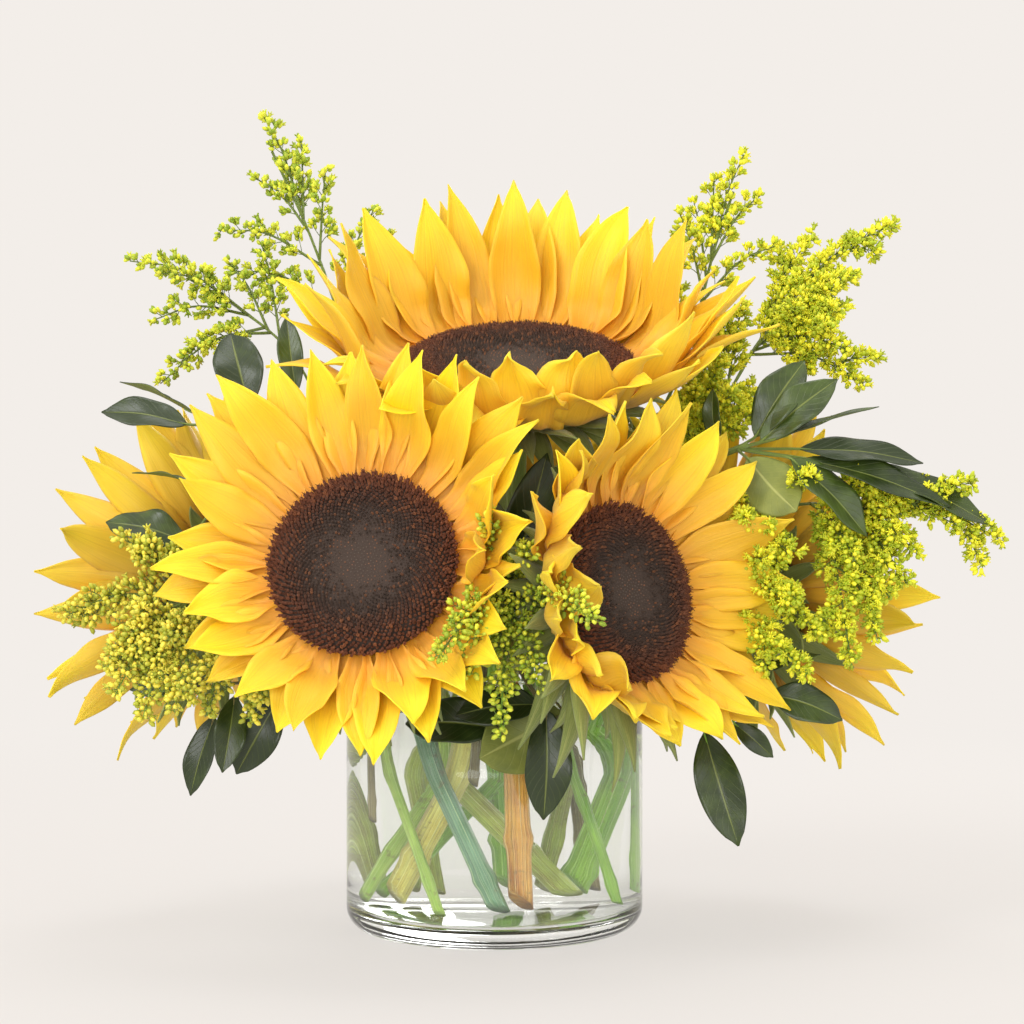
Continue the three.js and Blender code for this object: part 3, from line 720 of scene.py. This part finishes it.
# ---- sunflower
class Head:
    """A flower head's place, read from its seed disc: x right, y to its top, z as it faces."""

    def __init__(self, name):
        points = np.array([vert.co[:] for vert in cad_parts[name + "_disc"].data.vertices])
        middle = points.mean(axis=0)
        axis = np.linalg.svd(points - middle, full_matrices=False)[2][2]
        low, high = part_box(name + "_bracts")
        behind = (np.array(low[:]) + np.array(high[:])) / 2
        if np.dot(axis, middle - behind) < 0:
            axis = -axis
        heights = (points - middle) @ axis
        spread = np.linalg.norm((points - middle) - np.outer(heights, axis), axis=1)
        self.radius = float(spread.max())
        self.z = Vector(axis)
        self.x = Vector((0, 0, 1)).cross(self.z).normalized()
        self.y = self.z.cross(self.x)
        self.origin = Vector(middle) + self.z * float(heights.min())
        self.matrix = basis(self.origin, self.x, self.y, self.z)

    def out(self, angle):
        return self.x * math.cos(angle) + self.y * math.sin(angle)

    def over(self, angle):
        return self.y * math.cos(angle) - self.x * math.sin(angle)


def petal_outline(share):
    """Half width of a petal as a share of its widest."""
    foot = 0.5 + 0.5 * smoothstep(0.0, 0.4, share)
    past = min(max(share - 0.45, 0.0) / 0.55, 1.0)
    return max(foot * (1 - past ** 2.1) ** 1.2, LEAST_WIDTH)


def add_petal(bm, head, angle, shape, rng):
    """One ray petal: grooved, cupped across, rising from under the disc and bending at its tip."""
    part = new_template()
    tone_layer = part.verts.layers.float["tone"]
    out, over = head.out(angle), head.over(angle)
    phase = shape["phase"]
    steps = PETAL_ROWS * STEPS_PER_ROW
    slopes = []
    for i in range(steps):
        share = (i + 0.5) / steps
        slope = shape["lift"] * smoothstep(LIFT_FROM, LIFT_TO, share)
        slope += shape["curl"] * smoothstep(0.55, 1.0, share) ** 1.5
        slope += shape["wave"] * math.sin(phase + share * 9.0) * smoothstep(0.1, 0.4, share)
        slopes.append(slope)
    root = (head.radius - PETAL_ROOT * MM, shape["start"] * MM)
    places = climb(root, slopes, shape["length"] * MM / steps)
    tone = rng.random()
    for vert, u, v in sheet_grid(part, PETAL_COLUMNS, PETAL_ROWS):
        step = round(v * steps)
        far, high = places[step]
        slope = slopes[step - 1] if step else 0.0
        normal = head.z * math.cos(slope) - out * math.sin(slope)
        twist = shape["twist"] * v * v
        cross = over * math.cos(twist) + normal * math.sin(twist)
        face = normal * math.cos(twist) - over * math.sin(twist)
        half = shape["width"] * 0.5 * petal_outline(v) * MM
        seed = Vector((v * 4.5 + phase * 5, math.copysign(2, u), phase))
        ruffle = 1 + 0.09 * noise.noise(seed * 1.3)
        cup = shape["cup"] * half * u * u * (1 - 0.3 * v)
        pleat = shape["pleat"] * MM * math.cos(u * 2.6 * math.pi + phase)
        pleat *= smoothstep(0.0, 0.2, v) * (1 - v * v)
        edge = abs(u) ** 2.5 * half * shape["frill"] * noise.noise(seed)
        crease = shape["crumple"] * MM * smoothstep(0.1, 0.5, v) * noise.noise(
            Vector((v * 2.6 + phase, u * 1.1, phase * 3)))
        vert.co = (head.origin + out * far + head.z * high - cross * (u * half * ruffle)
                   + face * (cup + pleat + edge + crease)
                   + over * (shape["lean"] * MM * v * v))
        vert[tone_layer] = tone
    append(bm, part, sheet=True)


def make_petals(name, design, head, rng):
    """Two whorls of petals; the inner one stands a little steeper than the outer one."""
    bm = new_template()
    count = design["petals"]
    for k in range(count):
        inner = k % 2 == 0
        angle = math.tau * (k + rng.uniform(-0.3, 0.3)) / count
        lift = around(design["lifts"], angle)
        length = around(design["lengths"], angle)
        steep = smoothstep(STEEP_FROM, STEEP_TO, lift) if length < SHORT_PETAL else 0.0
        whorl = INNER_LIFT if inner else -OUTER_DROP - STEEP_DROP * steep
        shape = dict(
            start=-0.9 if inner else -1.7,
            length=length * rng.uniform(0.86, 1.05),
            lift=math.radians(lift + whorl + rng.uniform(-9, 9)),
            curl=math.radians(rng.uniform(-46, 16) - 30 * steep * rng.random()),
            wave=math.radians(rng.uniform(2, 9)), phase=rng.uniform(0, math.tau),
            twist=math.radians(rng.uniform(-38, 38)),
            width=design["width"] * rng.uniform(0.78, 1.12),
            cup=rng.uniform(0.1, 0.7), pleat=rng.uniform(0.2, 0.6),
            frill=rng.uniform(0.2, 0.5) + 0.4 * steep, crumple=1.2 + 4.5 * steep,
            lean=rng.uniform(-7, 7))
        add_petal(bm, head, angle, shape, rng)
    add_piece(name + "_ray_petals", bm, [MATERIALS["petal"], MATERIALS["petal_back"]],
              [name + "_petals"], PETAL_THICKNESS)


def floret_templates():
    """A tight bud, a young floret with a pointed tip, and an open tube with a forked stigma."""
    bud, young, opened = (new_template("zone") for _ in range(3))
    cone(bud, 5, 0.9, 0.3, 1.6, moved(0, 0.2))
    cone(young, 6, 0.6, 0.62, 2.2, moved(0, 0.6))
    cone(young, 5, 0.42, 0.08, 0.9, moved(0, 2.1))
    cone(opened, 6, 0.5, 0.72, 3.0, moved(0, 1.0))
    for side in (-1, 1):
        arm = moved(side * 0.4, 3.1) @ Matrix.Rotation(side * 0.6, 4, "Y")
        cone(opened, 4, 0.22, 0.1, 1.5, arm)
    return [as_mesh(bud), as_mesh(young), as_mesh(opened)]


FLORETS = floret_templates()


def disc_height(share):
    """Height of the disc's face over its back, for a share of the radius."""
    return 5.2 + 2.0 * smoothstep(0.1, 0.72, share) - 4.2 * smoothstep(0.78, 1.0, share)


def make_disc(name, head, rng):
    """A low dome packed with florets in the spirals of the golden angle."""
    bm = new_template("zone")
    dome = new_template("zone")
    radius = head.radius / MM
    profile = [(0, 0), (radius - 3, 0), (radius - 0.6, 1.4)]
    for share in (0.985, 0.93, 0.85, 0.75, 0.6, 0.45, 0.3, 0.15, 0):
        profile.append((radius * share, disc_height(share) - 0.3))
    lathe(dome, profile, head.matrix @ Matrix.Scale(MM, 4), 64)
    stamp(bm, as_mesh(dome), Matrix(), zone=DOME_ZONE)
    count = int((radius / FLORET_SPACING) ** 2 * FLORETS_PER_SPACE)
    for i in range(count):
        share = math.sqrt((i + 0.5) / count)
        ragged = share + rng.uniform(-0.2, 0.2)
        kind = 0 if ragged < BUD_ZONE else 1 if ragged < YOUNG_ZONE else 2
        out = head.out(i * GOLDEN_ANGLE)
        slope = smoothstep(0.7, 1.0, share) * 0.75 - 0.18 * smoothstep(0.2, 0.5, share)
        lean = head.z * math.cos(slope) + out * math.sin(slope)
        lean += Vector([rng.uniform(-1, 1) for _ in range(3)]) * (0.05 + 0.15 * share)
        far, high = share * radius * 0.99, disc_height(share) - 0.6
        origin = head.origin + out * far * MM + head.z * high * MM
        size = (0.6 + 0.36 * share) * rng.uniform(0.85, 1.15) * MM
        matrix = aimed(origin, lean, rng.uniform(0, math.tau), size)
        stamp(bm, FLORETS[kind], matrix, tone=rng.random(), zone=share)
    add_piece(name + "_florets", bm, [MATERIALS["disc"]], [name + "_disc"])


def add_bract(bm, head, angle, root, length, width, lift, curl, rng):
    """One pointed bract under the petals."""
    part = new_template()
    tone_layer = part.verts.layers.float["tone"]
    out, over = head.out(angle), head.over(angle)
    slopes = [lift + curl * ((i + 0.5) / BRACT_ROWS) ** 2 for i in range(BRACT_ROWS)]
    places = climb(root, slopes, length / BRACT_ROWS)
    tone = rng.random()
    bend = rng.uniform(-0.14, 0.14) * length
    for vert, u, v in sheet_grid(part, BRACT_COLUMNS, BRACT_ROWS):
        row = round(v * BRACT_ROWS)
        far, high = places[row]
        slope = slopes[min(row, BRACT_ROWS - 1)]
        normal = head.z * math.cos(slope) - out * math.sin(slope)
        half = width * 0.5 * max(1 - v ** 1.6, BRACT_TIP) * (0.85 + 0.3 * math.sin(math.pi * v))
        vert.co = (head.origin + out * far * MM + head.z * high * MM
                   + over * (u * half + bend * v * v) * MM
                   - normal * (0.35 * half * u * u) * MM)
        vert[tone_layer] = tone
    append(bm, part, sheet=True)


def make_bracts(name, design, head, rng):
    """The receptacle behind the disc and three whorls of bracts."""
    radius = head.radius / MM
    stem = design["stem"]
    depth = RECEPTACLE_DEPTH
    profile = [(0, -3), (radius - 4, -3), (radius - 2, -3.6), (radius - 4, -7),
               (radius * 0.78, -10.5), (radius * 0.52, -14), (stem + 5, -depth + 2.4),
               (stem + 1.2, -depth - 0.5), (stem + 0.4, -depth - 3), (0, -depth - 3)]
    core = new_template()
    lathe(core, profile, head.matrix @ Matrix.Scale(MM, 4), 40)
    add_piece(name + "_receptacle", core, [MATERIALS["bract"]], [name + "_bracts"])
    bm = new_template()
    for whorl in range(BRACT_WHORLS):
        for k in range(BRACTS_IN_WHORL):
            turn = (k + whorl / BRACT_WHORLS + rng.uniform(-0.2, 0.2)) / BRACTS_IN_WHORL
            angle = math.tau * turn
            root = (radius * (0.86 - 0.14 * whorl), -6.5 - 3.2 * whorl)
            sag = max(-head.out(angle).z, 0.0) * design.get("hang", HANG)
            length = rng.uniform(21, 31) * (1 + sag)
            width = rng.uniform(7, 11) * (1 + 0.7 * sag)
            lift = math.radians(8 - 14 * whorl + 0.12 * around(design["lifts"], angle))
            curl = math.radians(rng.uniform(-75, 0) - 14 * whorl) * (1 - 0.4 * sag)
            add_bract(bm, head, angle, root, length, width, lift, curl, rng)
    add_piece(name + "_bract_leaves", bm, [MATERIALS["bract"]], [name + "_bracts"],
              BRACT_THICKNESS)


def stem_route(design, above):
    """From the cut end straight up through the water to the lip, then on through the points."""
    x, y, *rest = design["foot"]
    foot = mm((x, y, rest[0] if rest else FOOT_Z + design["stem"]))
    lip = mm((*design["lip"], LIP_Z))
    return spline([foot, foot.lerp(lip, 0.6), lip, *above])


def stem_radius(size, seed, nodes=3, taper=0.12, thins=(0.0, 1.0)):
    """Ribs, slow swellings and a few thicker leaf nodes along a stem."""
    def radius(share, angle):
        swell = 1 + 0.05 * noise.noise(Vector((share * 9, seed, 0)))
        rib = 1 + 0.035 * math.cos(angle * 6 + seed)
        knot = 0.0
        for k in range(nodes):
            middle = (k + 0.35 + 0.5 * noise.noise(Vector((k * 3.1, seed, 5)))) / nodes
            knot += 0.24 * math.exp(-((share - middle) * 60) ** 2)
        return size * MM * swell * rib * (1 + knot) * (1 - taper * smoothstep(*thins, share))
    return radius


def slant_cut(bm, route, size):
    """Cuts the stem's foot on a slant, as a florist's knife does."""
    foot, tangent, side, _ = route.at(0.0)
    plane_normal = (tangent + side * 0.9).normalized()
    centre = foot + tangent * size * 0.9 * MM
    cut = bmesh.ops.bisect_plane(bm, geom=bm.verts[:] + bm.edges[:] + bm.faces[:],
                                 plane_co=centre, plane_no=plane_normal, clear_inner=True)
    rim = [item for item in cut["geom_cut"] if isinstance(item, bmesh.types.BMEdge)]
    bmesh.ops.holes_fill(bm, edges=rim, sides=0)


def cut_stem(design, above, radius, sides, steps):
    """A stem from its slanted cut end to the last of the points above the lip."""
    route = Route(stem_route(design, above))
    bm = new_template()
    tube(bm, route, radius, sides=sides, steps=steps)
    slant_cut(bm, route, design["stem"])
    return route, bm


def make_sunflower_stem(name, design, head):
    """A stem that bends at its neck into the back of the head."""
    depth = RECEPTACLE_DEPTH * MM
    size = design["stem"]
    above = [head.origin - head.z * (depth + NECK_LENGTH * MM), head.origin - head.z * depth]
    radius = stem_radius(size, size * 7 + head.origin.x * 90)
    _, bm = cut_stem(design, above, radius, 24, 90)
    add_piece(name + "_stalk", bm, [MATERIALS["stem_" + design["tint"]]],
              [name + "_stem"])


def make_sunflower(name, design):
    head = Head(name)
    rng = random.Random(name)
    make_petals(name, design, head, rng)
    make_disc(name, head, rng)
    make_bracts(name, design, head, rng)
    make_sunflower_stem(name, design, head)


# ---- goldenrod
def goldenrod_templates():
    """A closed bud and a small open flower, both standing on +Z, a millimetre across."""
    bud, flower = new_template(), new_template()
    bmesh.ops.create_icosphere(bud, subdivisions=1, radius=0.5,
                               matrix=Matrix.Diagonal((0.9, 0.9, 1.5, 1.0)))
    cone(flower, 5, 0.3, 0.5, 1.1, moved(0, 0.1))
    for k in range(5):
        arm = moved(0.5, 0.8) @ Matrix.Rotation(0.8, 4, "Y")
        cone(flower, 3, 0.24, 0.12, 0.66, Matrix.Rotation(math.tau * k / 5, 4, "Z") @ arm)
    return as_mesh(bud), as_mesh(flower)


BUD, OPEN_FLOWER = goldenrod_templates()


def add_branchlet(stalks, flowers, origin, aim, length, habit, rng):
    """A short arching side stalk set with buds on both sides and one at its end."""
    bend = aim + Vector((0, 0, rng.uniform(-0.5, 0.3)))
    points = [origin, origin + aim * length * 0.5, origin + (aim + bend).normalized() * length]
    route = Route(spline(points, 4))
    tube(stalks, route, lambda share, angle: 0.26 * MM * (1 - 0.4 * share), sides=3, steps=3)
    count = max(3, int(length / MM / BUD_SPACING))
    spin = rng.uniform(0, math.tau)
    for k in range(count):
        share = habit["bare"] + (1 - habit["bare"]) * (k + 0.5) / count
        point, tangent, side, up = route.at(share)
        angle = spin + k * GOLDEN_ANGLE
        away = side * math.cos(angle) + up * math.sin(angle)
        away = (away + Vector((0, 0, 0.5))).normalized()
        size = rng.uniform(habit["least"], habit["most"])
        reach = (0.6 * size + habit["stalk"]) * rng.uniform(0.7, 1.2) * MM
        lean = away * 0.7 + tangent
        template = OPEN_FLOWER if rng.random() < habit["open"] else BUD
        matrix = aimed(point + away * reach, lean, rng.uniform(0, math.tau), size * MM)
        stamp(flowers, template, matrix, tone=rng.random())
        if habit["stalk"] > LONG_STALK:
            pedicel = Route([point, point + away * reach * 0.5, point + away * reach])
            tube(stalks, pedicel, lambda share, angle: 0.18 * MM, sides=3, steps=1)
    matrix = aimed(route.at(1.0)[0], aim, 0, habit["most"] * MM)
    stamp(flowers, BUD, matrix, tone=rng.random())


def flower_shoot(stalks, flowers, shoot, size, habit, rng):
    """An arching side shoot with flowering branchlets all the way round it."""
    tube(stalks, shoot, lambda share, angle: 0.75 * size * MM * (1 - 0.65 * share), sides=6,
         steps=12)
    count = max(7, int(shoot.length / MM / habit["spacing"]))
    for k in range(count):
        share = 0.16 + 0.84 * (k + rng.random() * 0.6) / count
        point, tangent, side, up = shoot.at(share)
        angle = k * GOLDEN_ANGLE
        away = side * math.cos(angle) + up * math.sin(angle)
        away.z += 0.35
        aim = (away.normalized() * 0.9 + tangent * 0.75).normalized()
        length = 3.2 + habit["spread"] * size * (1 - share) ** 0.8
        length *= rng.uniform(0.55, 1.2) * MM
        add_branchlet(stalks, flowers, point, aim, length, habit, rng)


def make_goldenrod(name, design):
    """A stem with flowering side shoots that leave it a little below each tip."""
    rng = random.Random(name)
    size = design["stem"]
    radius = stem_radius(size, size * 5 + len(name), 5, 0.74, (0.25, 0.8))
    route, stalks = cut_stem(design, [mm(p) for p in design["route"]], radius, 12, 80)
    flowers = new_template()
    habit = HABITS[design["habit"]]
    for tip in design["tips"]:
        end = mm(tip)
        start = route.at(max(route.nearest(end) - 0.1, 0.3))[0]
        span = (end - start).length
        arch = start.lerp(end, 0.55) + Vector((0, 0, 0.12 * span))
        shoot = Route(spline([start, arch, end], 10))
        flower_shoot(stalks, flowers, shoot, 1.0, habit, rng)
        for k in range(habit["forks"]):
            share = 0.3 + 0.4 * (k + rng.random()) / habit["forks"]
            point, tangent, side, up = shoot.at(share)
            angle = k * GOLDEN_ANGLE + rng.uniform(0, math.tau)
            aim = tangent + (side * math.cos(angle) + up * math.sin(angle)) * 0.75
            reach = aim.normalized() * span * rng.uniform(0.24, 0.38)
            fork = [point, point + reach * 0.5 + Vector((0, 0, span * 0.03)), point + reach]
            flower_shoot(stalks, flowers, Route(spline(fork, 8)), 0.7, habit, rng)
    add_piece(name + "_stalks", stalks, [MATERIALS["stem_" + design["tint"]]],
              [name])
    add_piece(name + "_flowers", flowers, [MATERIALS[design["hue"]]], [name])


# ---- foliage
def leaf_outline(share):
    """Half width of an obovate leaf as a share of its widest."""
    rise = math.sin(math.pi * min(share, 1.0) ** 0.86)
    width = max(rise, 0.0) ** 0.78 * (0.78 + 0.3 * share)
    return max(width * (1 - smoothstep(0.9, 1.0, share) * 0.4), LEAST_WIDTH)


def add_leaf(bm, base, tip, width, facing, rng):
    """One leaf with a folded midrib, a waved edge and a bend along its length."""
    part = new_template()
    tone_layer = part.verts.layers.float["tone"]
    start, end = mm(base), mm(tip)
    face = Vector(facing).normalized()
    arch = start.lerp(end, 0.5) + face * width * 0.14 * MM
    tip_drop = end - face * width * rng.uniform(0.0, 0.12) * MM
    route = Route(spline([start, arch, tip_drop], 12), side=(end - start).cross(face))
    fold = rng.uniform(0.12, 0.34)
    phase = rng.uniform(0, 9)
    twist = math.radians(rng.uniform(-16, 16))
    tone = rng.random()
    for vert, u, v in sheet_grid(part, LEAF_COLUMNS, LEAF_ROWS):
        point, tangent, side, _ = route.at(v)
        up = side.cross(tangent)
        turn = twist * v
        cross = side * math.cos(turn) + up * math.sin(turn)
        normal = up * math.cos(turn) - side * math.sin(turn)
        half = width * 0.54 * leaf_outline(v) * MM
        wave = abs(u) ** 2 * half * 0.16 * math.sin(v * 11 + phase + (2 if u > 0 else 0))
        rib = -0.35 * MM * math.exp(-(u * 7) ** 2) * (1 - v)
        vert.co = point + cross * (u * half) + normal * (abs(u) ** 1.3 * half * fold + wave + rib)
        vert[tone_layer] = tone
    append(bm, part, sheet=True)


def make_foliage(name, design):
    """A twig with leaves, each on its own short stalk."""
    rng = random.Random(name)
    size = design["stem"]
    radius = stem_radius(size, size * 3 + len(name), nodes=5, taper=0.5)
    route, twig = cut_stem(design, [mm(p) for p in design["route"]], radius, 12, 70)
    leaves = new_template()
    for base, tip, width, facing in design["leaves"]:
        start, end = mm(base), mm(tip)
        root = route.at(max(route.nearest(start) - 0.02, 0.0))[0]
        into = start.lerp(end, 0.12)
        stalk = Route(spline([root, root.lerp(start, 0.6), start, into], 6))
        tube(twig, stalk, lambda share, angle: 0.75 * MM * (1 - 0.3 * share), sides=7, steps=14)
        add_leaf(leaves, base, tip, width, facing, rng)
    add_piece(name + "_twig", twig, [MATERIALS["stem_" + design["tint"]]], [name])
    add_piece(name + "_leaves", leaves, [MATERIALS["leaf"], MATERIALS["leaf_under"]],
              [name], LEAF_THICKNESS)


# ---- vase and water
def make_vase():
    """A straight glass cylinder with a thick base, a rounded foot and a rounded rim."""
    radius, height, wall, floor, corner = (VASE_RADIUS, VASE_HEIGHT, VASE_WALL, VASE_FLOOR,
                                           VASE_CORNER)
    inner = radius - wall
    rim = wall / 2
    profile = [(0, 1.2), (20, 1.1), (radius - corner - 8, 0.5), (radius - corner - 3, 0)]
    profile += arc((radius - corner, corner), corner, -90, 0, 10)
    profile += [(radius, height * k / 8) for k in range(2, 8)]
    profile += arc((radius - rim, height - rim), rim, 0, 180, 10)
    profile += [(inner, height * k / 8) for k in range(7, 1, -1)]
    profile += arc((inner - corner, floor + corner), corner, 0, -90, 10)
    profile += [(inner * 0.5, floor + 0.6), (0, floor + 0.9)]
    bm = new_template()
    lathe(bm, profile, Matrix.Scale(MM, 4), 128)
    piece = add_piece("vase_glass_body", bm, [MATERIALS["glass"]], ["vase"])
    piece.visible_shadow = False


def make_water():
    """Water up to its level, with a meniscus where it climbs the glass."""
    inner = VASE_RADIUS - VASE_WALL + WATER_OVERLAP
    corner = VASE_CORNER
    floor = VASE_FLOOR - WATER_OVERLAP
    profile = [(0, floor + 0.9), (inner * 0.5, floor + 0.6)]
    profile += arc((inner - corner, floor + corner), corner, -90, 0, 10)
    profile += [(inner, 30), (inner, 50), (inner, 70), (inner, WATER_LEVEL + MENISCUS)]
    profile += [(inner - 0.6, WATER_LEVEL + MENISCUS / 2), (inner - 1.6, WATER_LEVEL + 0.15),
                (inner - 3, WATER_LEVEL), (inner * 0.5, WATER_LEVEL), (0, WATER_LEVEL)]
    bm = new_template()
    lathe(bm, profile, Matrix.Scale(MM, 4), 128)
    piece = add_piece("water_body", bm, [MATERIALS["water"]], ["water"])
    piece.visible_shadow = False


# ---- floor, light and camera
FLOOR_COLOUR = (0.57, 0.55, 0.532, 1)
BACKDROP = srgb(243, 238, 233)
FLOOR_RADIUS = 9.0
FLOOR_GAP = 0.0005
# The share of the backdrop's own colour in the floor, which grows to all of it between these
# distances in metres.
GLOW, GLOW_FROM, GLOW_TO = 0.63, 0.3, 1.0
MIDDLE, LOW = (0, 0, 0.17), (0, 0, 0.08)
CAMERA_PLACE = (7.5, -1000, 178)
SENSOR_WIDTH, LENS = 36.0, 81.8

# Each light's place and target in metres, its width and its power in watts.
LIGHTS = {
    "key": ((-0.9, -1.0, 1.3), MIDDLE, 0.8, 12.5),
    "fill": ((1.3, -1.2, 0.6), MIDDLE, 1.2, 5.5),
    "low front": ((-0.3, -1.3, 0.2), LOW, 0.8, 8.5),
    "low back": ((0.6, 1.6, 0.5), LOW, 0.9, 6),
    "top": ((0.1, 0.2, 1.7), MIDDLE, 1.0, 7),
    "rim": ((0.5, 1.4, 0.9), MIDDLE, 1.0, 7),
}


def make_floor():
    """A pale floor that fades into the backdrop away from the vase."""
    bm = bmesh.new()
    bmesh.ops.create_circle(bm, cap_ends=True, segments=96, radius=FLOOR_RADIUS,
                            matrix=moved(0, -FLOOR_GAP))
    mesh = bpy.data.meshes.new("floor")
    bm.to_mesh(mesh)
    bm.free()
    floor = bpy.data.objects.new("floor", mesh)
    bpy.context.scene.collection.objects.link(floor)
    shader = Shader("pale_floor", roughness=0.9)
    shader.surface.inputs["Base Color"].default_value = FLOOR_COLOUR
    shader.surface.inputs["Specular IOR Level"].default_value = 0.0
    place = shader.object_place()
    reach = shader.node("ShaderNodeVectorMath", {"operation": "LENGTH"}, place, output="Value")
    glow = shader.node("ShaderNodeEmission", {}, BACKDROP, 1.0)
    share = GLOW + reach.step(GLOW_FROM, GLOW_TO) * (1 - GLOW)
    plain = Value(shader, shader.surface.outputs[0])
    mixed = shader.node("ShaderNodeMixShader", {}, share, plain, glow)
    shader.feed(shader.tree.nodes["Material Output"].inputs[0], mixed)
    floor.data.materials.append(shader.material)


def soft_light(name, place, target, size, power):
    data = bpy.data.lights.new(name, "AREA")
    data.shape = "DISK"
    data.size = size
    data.energy = power
    light = bpy.data.objects.new(name, data)
    light.location = place
    aim = Vector(target) - Vector(place)
    light.rotation_euler = aim.to_track_quat("-Z", "Y").to_euler()
    bpy.context.scene.collection.objects.link(light)


def make_lights():
    for name, settings in LIGHTS.items():
        soft_light(name, *settings)
    world = bpy.data.worlds.new("studio")
    world.use_nodes = True
    background = world.node_tree.nodes["Background"]
    background.inputs["Color"].default_value = BACKDROP
    background.inputs["Strength"].default_value = 1.0
    bpy.context.scene.world = world
    bpy.context.scene.view_settings.view_transform = "Standard"


def make_camera():
    data = bpy.data.cameras.new("camera")
    data.sensor_width = SENSOR_WIDTH
    data.lens = LENS
    camera = bpy.data.objects.new("camera", data)
    camera.location = mm(CAMERA_PLACE)
    camera.rotation_euler = (math.radians(90), 0, 0)
    bpy.context.scene.collection.objects.link(camera)
    bpy.context.scene.camera = camera


make_camera()
make_floor()
make_lights()
make_vase()
make_water()
for flower_name, flower_design in SUNFLOWERS.items():
    make_sunflower(flower_name, flower_design)
for branch_name, branch_design in FOLIAGE.items():
    make_foliage(branch_name, branch_design)
for branch_name, branch_design in GOLDENROD.items():
    make_goldenrod(branch_name, branch_design)
